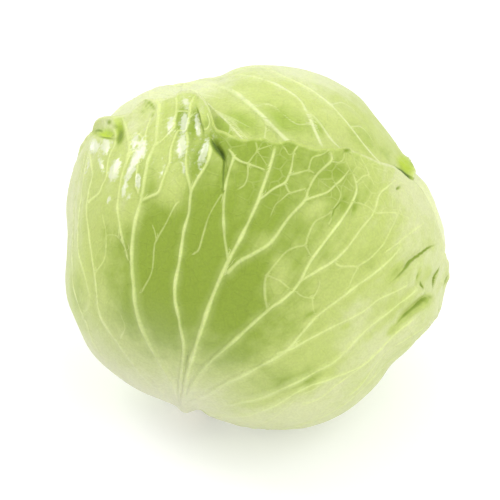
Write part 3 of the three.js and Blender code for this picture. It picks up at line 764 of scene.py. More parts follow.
# ---------------------------------------------------------------- the front leaf's folds
# Along an overlap the leaf lies over itself. The side on the left, for someone outside who walks
# along it, is the upper one. A row is its height and fade in mm, where along it is highest, how
# dark the painted shade along its crease is, and the pixels that it runs through.
FRONT_OVERLAPS = [
    (3.6, 8, 0.8, 0.8, [(224, 203), (222.5, 190), (222.5, 175), (223, 164), (221, 155), (216, 147),
        (212, 141), (209, 135)]),
    (2.0, 4, 0.5, 0.5, [(197, 105), (199.2, 112), (201.5, 118), (203, 125), (204.5, 132),
        (206, 138)]),
    (2.2, 7, 0.5, 0.48, [(437, 244), (428, 248), (420, 254), (412, 260), (408, 263.5), (404, 269),
        (400, 274), (396, 278), (390, 283), (382, 291)]),
    (2.4, 7, 0.35, 0.42, [(428, 293.5), (420, 299), (413, 305), (407, 311), (400, 318.5),
        (394, 326), (387, 334)]),
    (1.8, 4, 0.5, 0.45, [(439, 263), (436, 270), (432, 277), (431, 282), (430, 288), (428, 292)]),
    (1.6, 4, 0.4, 0.26, [(451, 270), (445, 276), (441, 282), (437, 287)]),
    (1.2, 4, 0.5, 0.5, [(417.5, 279), (418.5, 283), (421, 289)]),
    (0.9, 3, 0.5, 0.28, [(413, 269), (413.3, 275), (414, 281)]),
    (1.2, 4, 0.5, 0.22, [(430, 304.5), (433.5, 308), (437.5, 312.5)]),
    (1.1, 4, 0.5, 0.4, [(345, 198), (340, 204), (335, 210), (333, 216), (328, 224)]),
]
# The upper side changes to the lower one over a step, and laps to the side by a share of its
# height. The lower side sinks by a share of it. Fades and offsets are in mm.
STEP_HALF = 0.7
LAP_SHARE = 0.2
LAP_FADE = 3.0
LOWER_SHARE = 0.45
LOWER_FADE_SHARE = 0.5
ROOM_FADE = 3
# The painted shade along a crease lies this far toward the lower side, and rises and falls over these
# shares of the overlap's length.
CREASE_OFFSET = 0.35
CREASE_ENDS = (0.3, 0.6)
NO_CREASE = 9.0
# A soft oval spot on the visible side is its pixel, its half lengths in pixels along and across,
# how its long way turns from level, and its strength. Dents are mm inward, or outward below 0.
FRONT_DENTS = [
    ((106, 133), (8, 4), 5, 3.0),
    ((120.5, 133), (10, 4), 95, 0.8),
    ((99.5, 127), (9, 5), -45, 2.0),
    ((90, 130), (20, 7), -58, 1.5),
    ((218, 150.5), (9, 3.4), 56, 3.0),
    ((419, 298), (8, 4.5), -38, 1.2),
    ((405, 310), (14, 4), -48, 0.8),
    ((426, 270), (7, 10), 20, -1.2),
    ((444, 282), (14, 7), 100, -0.2),
    ((424, 311), (24, 12), 122, -4.4),
    ((403, 343), (16, 9), -48, -2.2),
    ((388, 366), (18, 8), 135, 1.7),
    ((447, 251), (7, 6), 90, 1.6),
    ((412, 326), (18, 7), -42, -1.6),
    ((402, 286), (14, 5), -42, -1.3),
    ((345, 151), (5, 4), 0, 1.0),
    ((350, 190), (5, 16), 8, 0.8),
    ((398, 188), (3, 2), -40, 1.1),
    ((66, 224), (56, 14), 92, 2.3),
    ((82, 158), (20, 9), 115, 0.6),
    ((80, 328), (20, 9), 62, 1.3),
    ((186, 407), (8, 7), 0, -2.4),
    ((200, 413), (7, 6), 20, 1.6),
    ((196, 125), (4, 13), -10, 0.8),
    ((184.5, 122), (6, 11), 5, 0.9),
]
# Painted shade in the front leaf's hollows, folds and gaps.
FRONT_DARK = [
    ((218, 151), (9, 3), 56, 2.2),
    ((222.2, 155), (4, 2), 90, 1.0),
    ((222.3, 189.5), (1.8, 1.5), 90, 0.8),
    ((100, 128.8), (1.6, 1.2), 0, 0.5),
    ((107, 138), (6.5, 1.7), 8, 0.65),
    ((144.3, 113.5), (2, 2), 0, 0.3),
    ((153.6, 107), (1.6, 3.6), -20, 0.45),
    ((153, 115.5), (1.4, 4), 30, 0.35),
    ((149.3, 109), (1.2, 2.4), 0, 0.3),
    ((120, 136.5), (8, 3), 95, 0.8),
    ((116.5, 127), (3, 2), 0, 0.3),
    ((112.5, 124), (2.8, 1.3), -40, 0.45),
    ((204, 132), (6, 1.6), 88, 0.4),
    ((194, 122), (10, 1.3), 100, 0.35),
    ((425, 296), (3, 1.5), -30, 0.3),
    ((344, 199), (2.5, 1.6), -45, 0.4),
    ((344.5, 151), (3, 2), 0, 0.4),
    ((398.3, 188), (2.6, 1.5), -45, 0.45),
]
FRONT_FRESH = [
    ((105, 132.6), (8, 3.6), 5, 1.6),
    ((119.5, 129), (3.5, 8), 0, 0.7),
]
# Waxy cells that stand a little proud and shine. Their gloss also whitens the colour, as waxy bloom
# and a painted highlight.
WAXY_HEIGHT = 0.5
FRONT_WAXY = [
    ((184.6, 122.5), (3.4, 8), 5, 1.2),
    ((197.6, 126), (2.2, 10), -8, 1.3),
    ((182.4, 147), (4.2, 10), 5, 1.1),
    ((171.3, 124.5), (2.8, 7.5), 12, 0.9),
    ((205.5, 154), (3, 13), 22, 1.0),
    ((135, 141), (3, 7), 12, 0.9),
    ((142, 149), (3.4, 9), 12, 1.3),
    ((135.2, 160), (3, 8), 12, 1.1),
    ((129.5, 173), (3, 9), 22, 1.2),
    ((124.8, 190), (2.6, 9), 12, 1.1),
    ((138, 182), (2.6, 8), 2, 1.1),
    ((116.5, 167), (4.6, 8), 18, 1.1),
    ((113.5, 176), (4.6, 6), 10, 1.1),
    ((107.3, 147), (3.2, 8), 6, 1.1),
    ((95.5, 147), (6, 6), 0, 0.9),
    ((102, 165), (2.6, 10), -12, 0.7),
    ((88, 165), (2.8, 14), 10, 0.55),
    ((110, 200), (1.8, 6), 10, 0.9),
    ((129.7, 197), (1.8, 5), 25, 0.8),
    ((186.8, 104), (3.4, 4), 30, 0.7),
    ((184.5, 170), (2, 8), -8, 0.5),
    ((162, 172), (1.8, 9), 22, 0.5),
]
# The crown leaf has a painted shadow beside the front leaf's margin, out to these degrees beyond
# it, and painted shade in small pits.
MARGIN_SHADE = (6.8, 5.5)
CROWN_DARK = [((406.7, 172.2), (7.5, 4.5), 48, 2.4)]
CROWN_PITS = [
    ((391, 151.5), (3, 1.3), -40, 0.3),
    ((411.5, 165.5), (6, 1.1), 66, 0.35),
]
# How much greener, or below 0 paler, the visible skin is than its course alone would make it. Many
# greener spots are painted shade in the folds, creases and pocket, and some paler ones are painted
# highlights on the waxy upper left and painted light on the pocket's lip.
FRONT_TONES = [
    ((102, 123), (9, 3.6), -15, -0.8),
    ((262, 244), (22, 12), -50, -0.25),
    ((272, 222), (12, 9), -50, 0.2),
    ((277, 280), (13, 22), 12, -0.45),
    ((378, 254), (20, 36), 20, 0.3),
    ((344, 204), (9, 12), 0, 0.25),
    ((128, 320), (16, 9), 70, 0.2),
    ((174, 184), (24, 15), 80, -0.5),
    ((316, 208), (12, 8), -50, -0.2),
    ((300, 312), (40, 20), -40, -0.1),
    ((284, 384), (46, 13), -20, 0.45),
    ((312, 380), (22, 7), -28, 0.2),
    ((172, 378), (26, 13), 10, -0.15),
    ((122, 206), (22, 16), 80, -0.35),
    ((206, 120), (14, 5), 70, -0.2),
    ((162, 290), (72, 24), 88, 0.28),
    ((262, 154), (18, 10), 10, 0.3),
    ((237, 300), (14, 32), 10, 0.15),
    ((332, 172), (22, 10), 10, 0.25),
    ((200, 160), (8, 22), 12, 0.05),
    ((214, 172), (8, 16), 5, -0.05),
    ((182, 120), (7, 13), 5, 0.9),
    ((194, 122), (4, 13), 10, 0.8),
    ((166, 118), (5, 22), 4, 0.3),
    ((372, 190), (20, 12), -60, 0.2),
    ((394, 306), (34, 13), -50, 0.2),
    ((76, 300), (44, 14), 80, 0.45),
    ((120.5, 131), (11, 3.4), 93, 0.9),
    ((396, 271), (13, 5), -48, 0.5),
    ((420, 299), (7, 3.5), -38, 0.6),
    ((207.5, 126), (3.5, 4.5), 10, 0.35),
    ((416, 190), (20, 6), 60, -0.6),
    ((410, 308), (8, 2.6), -45, 0.45),
    ((401, 317.5), (9, 2.6), -50, 0.45),
    ((391, 330), (8, 3.5), -45, 0.4),
    ((414, 274), (2, 6), 0, 0.4),
    ((422, 272), (7, 9), 20, 0.2),
    ((312, 313), (8, 3), -30, 0.3),
    ((346, 326), (5, 2.5), -30, 0.3),
    ((355, 205), (9, 2.5), 100, 0.3),
    ((230, 150), (14, 5), 40, 0.35),
]
# How much greener, or below 0 paler, the visible skin of the leaves at the back and at the right is.
SIDE_TONES = [
    ((428, 208), (45, 9), 63, -0.7),
]
CROWN_DENTS = [
    ((190, 82), (45, 12), -12, 1.2),
    ((390, 143), (24, 9), 50, 1.3),
    ((402, 160), (13, 8), 61, 1.9),
    ((411, 172), (10, 6), 58, 1.2),
    ((334, 84), (16, 8), 35, 0.8),
    ((290, 67), (36, 9), 3, 1.1),
    ((216, 77), (14, 8), -14, 1.2),
    ((180, 84), (13, 8), -20, 1.5),
]
CROWN_FRESH = [
    ((405, 159), (5.5, 3.4), 60, 1.0),
    ((409, 166.5), (7.5, 2.6), 64, 0.75),
]
# How much greener, or below 0 paler, the crown leaf's visible skin is. The greener spots under the
# front leaf's flap and beside its margin at the right are painted shade.
CROWN_TONES = [
    ((222, 126), (14, 6), 48, 0.8),
    ((408, 166), (9, 3), 66, 0.8),
    ((285, 122), (45, 22), 32, 0.5),
    ((240, 121), (22, 10), 35, 0.5),
    ((318, 128), (10, 8), 0, 0.3),
    ((217, 102), (22, 11), 22, 0.05),
    ((160, 92), (40, 14), -20, -0.5),
    ((345, 95), (50, 16), 45, 0.05),
    ((362, 138), (28, 12), 48, 0.45),
    ((390, 151), (12, 8), 45, 0.3),
    ((310, 75), (60, 9), 20, -0.3),
]
# Rounded ridges: height and half width in mm, and the pixels they run through.
FRONT_RIDGES = [
    (0.9, 1.8, [(91, 137), (93.5, 129), (99, 124), (107, 121.5), (115, 123)]),
    (0.9, 1.3, [(91, 140), (97, 139), (104, 141), (110, 142)]),
    (1.4, 3.5, [(424, 289), (412, 296), (398, 305)]),
    (1.4, 3.5, [(424, 262), (412, 270), (402, 281)]),
    (1.2, 2.6, [(446, 268), (438, 280), (433, 290)]),
]
RIDGE_ENDS = (0.3, 0.7)


def spots(d, table):
    """The soft oval spots of a table, added up."""
    x, y, seen = pixel_of(d)
    total = np.zeros(len(d))
    for (cx, cy), (long, short), angle, strength in table:
        c, s = math.cos(angle * DEG), math.sin(angle * DEG)
        along = ((x - cx) * c + (y - cy) * s) / long
        across = ((y - cy) * c - (x - cx) * s) / short
        total += strength * np.exp(-along * along - across * across)
    return total * seen


def overlap(d, height, fade, peak, ink, places):
    """Of an overlap at the places d: the form in mm outward, the room it needs, how its upper side
    laps over to the side, and the painted shade along its crease: the distance on its side, the
    distance and the ink."""
    line = along_curve(direction_of_pixels(places))
    way = unit(np.gradient(line, axis=0))
    nearest = np.argmax(d @ line.T, axis=1)
    offset = (d - line[nearest]) * SHELL_RADIUS
    side = np.sum(np.cross(d, way[nearest]) * offset, axis=1)
    away = np.linalg.norm(offset, axis=1)
    t = nearest / (len(line) - 1)
    strength = rise_and_fall(t, peak, peak, height)
    upper = strength * np.exp(-away / fade)
    lower = -LOWER_SHARE * strength * np.exp(-away / (LOWER_FADE_SHARE * fade))
    upper_side = smooth(-STEP_HALF, STEP_HALF, side)
    form = between(lower, upper, upper_side)
    lap = -LAP_SHARE * strength * np.exp(-away / LAP_FADE) * upper_side
    left = np.cross(d, way[nearest]) * lap[:, None]
    crease = (side + CREASE_OFFSET, away, rise_and_fall(t, *CREASE_ENDS, ink))
    return form, strength * np.exp(-away / ROOM_FADE), left, crease


def ridge_form(d, height, half, places):
    """A rounded ridge at the places d, in mm outward."""
    line = along_curve(direction_of_pixels(places))
    near = d @ line.T
    away = np.sqrt(np.maximum(2 - 2 * near.max(axis=1), 0)) * SHELL_RADIUS / half
    t = near.argmax(axis=1) / (len(line) - 1)
    return rise_and_fall(t, *RIDGE_ENDS, height) * bell(away)


def front_form(d):
    """The folded form of the front leaf in mm outward, the room that its overlaps need, how far
    their upper sides lap over to the side, and its nearest crease with the ink of its painted shade."""
    form = np.zeros(len(d))
    room = np.zeros(len(d))
    lap = np.zeros((len(d), 3))
    crease = np.full((3, len(d)), NO_CREASE)
    for row in FRONT_OVERLAPS:
        height, beside, sideways, line = overlap(d, *row)
        form += height
        room = np.maximum(room, beside)
        lap += sideways
        crease = np.where(line[1] < crease[1], line, crease)
    ridges = np.zeros(len(d))
    for row in FRONT_RIDGES:
        ridges = np.maximum(ridges, ridge_form(d, *row))
    blisters = WAXY_HEIGHT * spots(d, FRONT_WAXY)
    return form + ridges + blisters - spots(d, FRONT_DENTS), room, lap, crease


def hollows_under_front(form, d):
    """How far the hollows of the front leaf's folded form press into what lies under it."""
    return np.minimum(form, 0) * FRONT.cover_at(d)


def folds_of(leaf, d):
    """On the front leaf its own folds, and under it their hollows alone."""
    form, room, lap, crease = front_form(d)
    if leaf is FRONT:
        return form, room, lap, crease
    crease[2] = 0
    return hollows_under_front(form, d), 0, np.zeros((len(d), 3)), crease


# ---------------------------------------------------------------- leaf meshes
# Lengths in mm. The margin rolls over this length, never quite flat, and what it stands off fades
# inward. The rows of the grid lie closer together toward the margin.
ROLL_LENGTH = 5.5
LEAST_ROLL = 0.5
LIFT_FADE = 16
MARGIN_ROWS = 0.4
INNER_COARSER = 4
INNER_RELIEF = 0.5
# The stalk end of a leaf: it thickens, leans to the stem and dips beside it.
STALK_ARCS = (9, 3)
STALK_THICKER = (1.8, 24, 3)
STALK_LEAN = 0.055
STALK_DIP = 1

# Towards the stalk the ribs widen and flatten into each other.
BASE_RIB_ARCS = (40, 12)
BASE_RIB_WIDER = 0.5
BASE_RIB_LOWER = 0.85

# The skin between the veins swells. The strong veins at the front leaf's right have a broad foot.
# Where three numbers stand together, they are a share and the arcs or turns that it grows over.
FRONT_SWELL = 0.3
TOP_LEFT_SWELL = (0.2, 66, 94)
TOP_LEFT_SWELL_TURNS = (10, 26)
PLAIN_SWELL = 0.35
SWELL_REACH = 2.7
BROAD_SHARE = 0.4
BROAD_HALVES = 2.6
BROAD_TURNS = (0, -45)
NET_SWELL = (0.16, 0, 2.6)
NET_CLEAR = (0, 2)
NET_ARCS = (84, 112)
NET_INK_ARCS = (94, 118)
NET_INK_TURNS = (32, 18)

# The whole leaf undulates: the length, height and shift of each wave, and the size of the frills.
WAVES = ((30, 0.75, 3.1), (11, 0.28, 8.4))
WAVE_ARCS = (6, 30)
FRILL_SIZE = 6
FRILL_HEIGHT = 0.5

# Uneven lanes along the courses: their width in degrees of turn, how far they are drawn out, and
# how high and how green they are. Finer lanes lie within them.
STREAK_TURN = 2.4
STREAK_STRETCH = 0.12
STREAK_LAYER_SHIFT = 50
STREAK_FINE_SHARE = 0.35
STREAK_FINE_SIZE = 0.42
STREAK_FINE_SHIFT = 3.0
STREAK_ARCS = (60, 104)
STREAK_CLEAR = (0, 2.5)
STREAK_HEIGHT = 0.17
STREAK_RIGHT_HIGHER = (0.4, -25, -60)
STREAK_GREEN = 0.1

# How green the skin is, and where it is paler, by arc and turn. The last is by mm from the margin.
FRONT_GREEN_ARCS = (14, 74)
LEFT_PALER = (0.75, 20, 70)
RIGHT_PALER = (0.85, 0, -50)
TOP_PALER = (0.12, 92, 112)
TOP_LEFT_PALER = (0.3, 96, 116)
TOP_LEFT_PALER_TURNS = (20, 42)
CROWN_GREEN = (0.35, 14, 62)
SIDE_GREEN = (0.5, 8, 70)
HEAD_GREEN = (0.35, 10, 60)
MARGIN_PALER = (0.3, 2, 0.6)

# Where the dull colour of the stalk end shows, the pale band beside the veins, the waxy gloss (which
# also whitens the colour, as waxy bloom and a painted highlight), and the fresh green of an under side.
BASE_ARCS = (72, 14)
RIGHT_BASE_LESS = (0.5, -5, -30)
LEFT_BASE = (0.5, 50, 80)
LEFT_BASE_ARCS = (106, 86)
HALO = 0.25
RIGHT_HALO = (0.5, 0, -45)
BASE_HALO = 0.8
TOP_LEFT_GLOSS = (0.18, 94, 104)
TOP_LEFT_GLOSS_TURNS = (12, 28)
ROLLED_FRESH = (0.5, 0.5, 1.5)
FRONT_INNER_FRESH = 0.25
INNER_FRESH = 0.6


def sheet_mesh(name, across, along):
    """A closed sheet over a square: a fine outer face, a coarser inner one, and the rim between."""
    bm = bmesh.new()
    for height, share in ((1, 1), (-1, INNER_COARSER)):
        made = bmesh.ops.create_grid(
            bm, x_segments=across // share, y_segments=along // share, size=1,
            matrix=Matrix.Translation((0, 0, height)),
        )
        if height < 0:
            faces = {face for vert in made["verts"] for face in vert.link_faces}
            bmesh.ops.reverse_faces(bm, faces=list(faces))
    bmesh.ops.bridge_loops(bm, edges=[edge for edge in bm.edges if edge.is_boundary])
    return mesh_of(bm, name)


def vertex_places(mesh):
    places = np.empty(len(mesh.vertices) * 3)
    mesh.vertices.foreach_get("co", places)
    return places.reshape(-1, 3)


def finish_mesh(name, mesh, places):
    """Moves the vertices, given in mm about the head's centre, and turns the faces outward."""
    places = places + np.array([0, 0, CENTRE_HEIGHT])
    places[:, 2] = np.maximum(places[:, 2], 0)
    mesh.vertices.foreach_set("co", (places * MM).ravel())
    bm = bmesh.new()
    bm.from_mesh(mesh)
    bmesh.ops.recalc_face_normals(bm, faces=bm.faces)
    bm.to_mesh(mesh)
    bm.free()
    mesh.shade_smooth()
    return new_object(name, mesh)


def paint(mesh, **masks):
    for name, values in masks.items():
        attribute = mesh.attributes.new(name, "FLOAT", "POINT")
        attribute.data.foreach_set("value", np.asarray(values, np.float32))


def disc_of_square(u, v):
    """Share of the way from the middle, and turn in degrees, of a square drawn out to a disc."""
    share = np.maximum(np.abs(u), np.abs(v))
    wide = np.abs(u) >= np.abs(v)
    leading = np.where(wide, u, v)
    flat = np.where(wide, v, u) / np.where(share > 0, leading, 1)
    turn = np.where(wide, 45 * flat, 90 - 45 * flat) + np.where(leading < 0, 180, 0)
    return share, (turn + 180) % 360 - 180


def leaf_grid(leaf, u, v):
    """Arc and turn about the leaf's hub, and the turn at the margin, of places of a square."""
    if leaf.whole_round:
        share, margin_turn = disc_of_square(u, v)
    else:
        share = (1 + v) / 2
        first, last = leaf.margin[0, 0], leaf.margin[-1, 0]
        margin_turn = between(last, first, (1 + u) / 2)
    share = share * (1 + MARGIN_ROWS - MARGIN_ROWS * share)
    turn = leaf.turn_on(leaf.course_of(margin_turn), share)
    reach = leaf.margin_at(margin_turn, 1)
    return between(leaf.start, reach, share), turn, margin_turn, reach


def streak_of(margin_turn, arc, layer):
    """Uneven lanes along a leaf's courses, about -0.7 to 0.7."""
    turn = margin_turn * DEG
    apart = STREAK_LAYER_SHIFT * layer
    lanes = np.stack([np.cos(turn) / DEG, np.sin(turn) / DEG, arc * STREAK_STRETCH + apart], 1)
    fine = noise_values(lanes, STREAK_TURN * STREAK_FINE_SIZE, STREAK_FINE_SHIFT)
    streak = noise_values(lanes, STREAK_TURN) + STREAK_FINE_SHARE * fine
    return streak * smooth(*STREAK_ARCS, arc)


def green_of(leaf, arc, turn, d):
    """How green the skin is, from 0 at the pale stalk to 1 at the deepest, with the tone spots' painted
    shade and painted highlights.
    """
    if leaf is CROWN:
        return partly(*CROWN_GREEN, arc) + spots(d, CROWN_TONES)
    if leaf is not FRONT:
        return partly(*SIDE_GREEN, arc) + spots(d, SIDE_TONES)
    green = smooth(*FRONT_GREEN_ARCS, arc)
    green = green * (1 - partly(*LEFT_PALER, turn)) * (1 - partly(*RIGHT_PALER, turn))
    top_left = partly(*TOP_LEFT_PALER, arc) * smooth(*TOP_LEFT_PALER_TURNS, turn)
    return green * (1 - (partly(*TOP_PALER, arc) + top_left)) + spots(d, FRONT_TONES)


def base_of(leaf, arc, turn):
    """Where the skin takes the dull pale colour of a leaf's stalk end, from 0 to 1."""
    if leaf.whole_round:
        return np.zeros(len(arc))
    stalk = smooth(*BASE_ARCS, arc)
    if leaf is FRONT:
        stalk = stalk * (1 - partly(*RIGHT_BASE_LESS, turn))
        return np.maximum(stalk, partly(*LEFT_BASE, turn) * smooth(*LEFT_BASE_ARCS, arc))
    return stalk


def dark_of(leaf, d):
    """Painted shade in the hollows, folds and gaps, from 0 to 1. On the crown leaf it is a painted
    shadow along the front leaf's margin, and painted shade in small pits.
    """
    if leaf is FRONT:
        return np.minimum(spots(d, FRONT_DARK), 1)
    if leaf is CROWN:
        beside_front = smooth(*MARGIN_SHADE, FRONT.beyond_margin(d))
        shade = np.minimum(spots(d, CROWN_DARK), 1) * beside_front
        return np.maximum(shade, spots(d, CROWN_PITS))
    return np.zeros(len(d))


def halo_of(leaf, turn, base):
    """How strong the soft pale band beside a vein is, from 0 to 1."""
    halo = HALO + partly(*RIGHT_HALO, turn) if leaf is FRONT else HALO
    return np.maximum(halo, BASE_HALO * base)


def gloss_of(leaf, arc, turn, d):
    """The upper left of the front leaf is waxy and shines, most in its waxy cells. The same share
    whitens the colour, as waxy bloom and a painted highlight.
    """
    if leaf is FRONT:
        broad = partly(*TOP_LEFT_GLOSS, arc) * smooth(*TOP_LEFT_GLOSS_TURNS, turn)
        return broad + spots(d, FRONT_WAXY)
    return np.zeros(len(arc))


def fresh_of(leaf, d, outer, rolled):
    """Where the skin is the fresh green of a leaf's under side, from 0 to 1."""
    if leaf is FRONT:
        top = spots(d, FRONT_FRESH)
    elif leaf is CROWN:
        top = spots(d, CROWN_FRESH)
    else:
        top = partly(*ROLLED_FRESH, rolled)
    return np.where(outer, np.minimum(top, 1), FRONT_INNER_FRESH if leaf is FRONT else INNER_FRESH)


def swell_of(leaf, arc, turn):
    """How far the skin swells between its veins, in mm."""
    if leaf is FRONT:
        return FRONT_SWELL + partly(*TOP_LEFT_SWELL, arc) * smooth(*TOP_LEFT_SWELL_TURNS, turn)
    return PLAIN_SWELL


def margin_of(leaf, layer, turn, margin_turn, reach, from_margin, open_share):
    """How far a leaf stands off toward its margin in mm, with small frills, and the radius of the
    margin's roll outward."""
    frill = noise_values(leaf.hub.direction(reach, turn) * SHELL_RADIUS, FRILL_SIZE, layer)
    near_margin = smooth(LIFT_FADE, 0, from_margin)
    lift = (leaf.margin_at(margin_turn, 3) + FRILL_HEIGHT * frill) * near_margin * open_share
    roll = np.maximum(leaf.margin_at(margin_turn, 2) * open_share, LEAST_ROLL) * DEG
    return lift, ROLL_LENGTH / roll


def flatten_ribs(strong, arc):
    """Widens and lowers the strong veins towards the stalk."""
    flat = smooth(*BASE_RIB_ARCS, arc)
    strong[HALF] *= 1 + BASE_RIB_WIDER * flat
    strong[RISE] *= 1 - BASE_RIB_LOWER * flat


def relief_of(leaf, arc, turn, strong, fine, net_away, streak):
    """The skin in mm outward: raised veins, swollen cells between them, the net, and the lanes."""
    nearest = np.minimum(strong[AWAY], fine[AWAY])
    puffed = swell_of(leaf, arc, turn) * (1 - bell(nearest / SWELL_REACH))
    broad = BROAD_SHARE * strong[RISE] * bell(strong[AWAY] / (BROAD_HALVES * strong[HALF]))
    broad = broad * smooth(*BROAD_TURNS, turn) * (leaf is FRONT)
    veins = broad + np.maximum(
        strong[RISE] * bell(strong[AWAY] / strong[HALF]),
        fine[RISE] * bell(fine[AWAY] / fine[HALF]),
    )
    cells = partly(*NET_SWELL, net_away) * smooth(*NET_CLEAR, nearest) * smooth(*NET_ARCS, arc)
    lanes = STREAK_HEIGHT * streak * smooth(*STREAK_CLEAR, nearest)
    if leaf is FRONT:
        lanes = lanes * (1 + partly(*STREAK_RIGHT_HIGHER, turn))
    return veins + puffed + cells + lanes


def make_leaf(leaf, layer, size, strong_veins, fine_veins):
    mesh = sheet_mesh(leaf.name, *size)
    u, v, face = vertex_places(mesh).T
    outer = face > 0
    arc, turn, margin_turn, reach = leaf_grid(leaf, u, v)
    d = leaf.hub.direction(arc, turn)
    depth, open_share = under(layer, d)
    from_margin = (reach - arc) * DEG * SHELL_RADIUS

    # The form of the whole leaf: folds, hollows and slow waves.
    form, room, lap, crease = folds_of(leaf, d)
    form = form - spots(d, CROWN_DENTS) * (layer >= LEAVES.index(CROWN))
    shell = d * SHELL_RADIUS
    waves = sum(height * noise_values(shell, length, shift) for length, height, shift in WAVES)
    form = form + waves * open_share * smooth(*WAVE_ARCS, arc)

    # The skin.
    strong = strong_veins.near(d)
    fine = fine_veins.near(d)
    if not leaf.whole_round:
        flatten_ribs(strong, arc)
    net_away, net_side, net_ink = net_field(d)
    streak = streak_of(margin_turn, arc, layer)
    relief = relief_of(leaf, arc, turn, strong, fine, net_away, streak) * open_share

    # The stalk end, on the leaves that start beside the stem, and the rolled margin.
    stalk = np.zeros(len(d)) if leaf.whole_round else smooth(*STALK_ARCS, arc)
    thickness = LEAF_THICKNESS + partly(*STALK_THICKER, arc) * (not leaf.whole_round)
    lift, radius = margin_of(leaf, layer, turn, margin_turn, reach, from_margin, open_share)
    into_roll = np.maximum(ROLL_LENGTH - from_margin, 0)
    rolled = into_roll / radius
    radial = envelope(d) - depth + lift + form - STALK_DIP * stalk
    leaned = unit(d + BUTT * STALK_LEAN * stalk[:, None])
    along = leaf.hub.along(arc, turn)
    normal = leaned * np.cos(rolled)[:, None] - along * np.sin(rolled)[:, None]
    out = np.where(outer, relief, INNER_RELIEF * relief - thickness - room)
    places = leaned * (radial + radius * (1 - np.cos(rolled)))[:, None]
    places = places + along * (radius * np.sin(rolled) - into_roll)[:, None]
    places = places + normal * out[:, None] + lap * outer[:, None]

    vein = np.where(fine[AWAY] / fine[HALF] < strong[AWAY] / strong[HALF], fine, strong)
    dark = dark_of(leaf, d)
    base = base_of(leaf, arc, turn)
    fresh = fresh_of(leaf, d, outer, rolled)
    green = green_of(leaf, arc, turn, d) + STREAK_GREEN * streak
    # Besides the skin's own colour, these attributes carry painted shade in the hollows and creases,
    # the tone spots' painted shade and highlights in the green, and a painted highlight with the gloss.
    paint(
        mesh,
        vein_side=vein[SIDE],
        vein_away=vein[AWAY],
        vein_half=vein[HALF],
        vein_ink=vein[INK],
        net_side=net_side,
        net_away=net_away,
        net_ink=net_ink * smooth(*NET_INK_ARCS, arc) * smooth(*NET_INK_TURNS, turn),
        halo=halo_of(leaf, turn, base),
        crease_side=crease[0],
        crease_away=crease[1],
        crease_ink=crease[2],
        dark=dark,
        green=green - partly(*MARGIN_PALER, from_margin),
        gloss=gloss_of(leaf, arc, turn, d) * (1 - dark) * (1 - fresh),
        fresh=fresh,
        base=base,
    )
    return finish_mesh(leaf.name + "_blade", mesh, places)


# ---------------------------------------------------------------- the head under the leaves
HEAD_DETAIL = 7
HEAD_CLEARANCE = 1.4
# Leaf edges wind round it: their number, turns for each degree of arc, height and step, and the
# arcs that they start and end over. The stem stands in a socket.
HEAD_FOLDS = 5
HEAD_FOLD_WINDING = 2
HEAD_FOLD_HEIGHT = 2.2
HEAD_FOLD_STEP = (0, 0.03)
HEAD_FOLD_START = (12, 50)
HEAD_FOLD_END = (178, 140)
HEAD_SOCKET = (8, 13, 7.5)


def head_folds(arc, turn):
    """Leaf edges that wind round the inner head from the stem to the crown, in mm outward."""
    winding = ((turn + HEAD_FOLD_WINDING * arc) * HEAD_FOLDS / 360) % 1
    fold = HEAD_FOLD_HEIGHT * (winding - 1) * smooth(*HEAD_FOLD_STEP, winding)
    return fold * smooth(*HEAD_FOLD_START, arc) * smooth(*HEAD_FOLD_END, arc)


def make_head(veins):
    bm = bmesh.new()
    bmesh.ops.create_icosphere(bm, subdivisions=HEAD_DETAIL, radius=1)
    mesh = mesh_of(bm, "head")
    d = unit(vertex_places(mesh))
    hub = Hub(0, 0)
    arc = hub.arc(d)
    depth, open_share = under(len(LEAVES), d)
    fold = head_folds(arc, hub.turn(d))
    away, side, half, rise, ink = veins.near(d)
    sunk = hollows_under_front(front_form(d)[0], d) - spots(d, CROWN_DENTS)
    skin = open_share * rise * bell(away / half)
    socket = partly(*HEAD_SOCKET, arc)
    radial = envelope(d) - depth - HEAD_CLEARANCE + fold + skin + sunk - socket
    paint(
        mesh,
        vein_side=side, vein_away=away, vein_half=half, vein_ink=ink * open_share,
        green=partly(*HEAD_GREEN, arc),
    )
    return finish_mesh("inner_head", mesh, d * radial[:, None])


# ---------------------------------------------------------------- the cut stem
STEM_RADIUS = 11.5
STEM_INNER_END = 48
STEM_OUTER_END = 86.5
STEM_CHAMFER = 1.2
STEM_CHAMFER_ANGLES = (30, 60, 90)
STEM_STEPS = 96
STEM_MERGE = 1e-4
# The hidden end tapers, by shares of the radius. Rings along the side and on the cut face leave
# room for the skin's unevenness. The face is dished by a depth, over shares of the radius.
STEM_TIP = 0.7
STEM_TAPER = 0.6
STEM_SIDE_SHARES = np.linspace(0.2, 1, 9)
STEM_FACE_SHARES = (0.84, 0.78, 0.7, 0.6, 0.5, 0.4, 0.3, 0.2, 0.1, 0)
STEM_DISH = (0.5, 0.86, 0.7)
# The side shrinks unevenly, by lumps of a size and a share, and the cut face chips.
STEM_LUMPS = ((7, 0, 0.5), (2.2, 5.0, 0.12))
STEM_SHRINK_BIAS = 0.25
STEM_SHRINK = 0.06
STEM_SHRINK_FROM = (0.3, 1)
STEM_CHIP_SIZE = 3
STEM_CHIP_SHIFT = 9.0
STEM_CHIP_LEAST = -0.2
STEM_CHIP_DEPTH = 0.35
STEM_CHIP_REACH = 3
STEM_FACE_REACH = (1.6, 0.9)


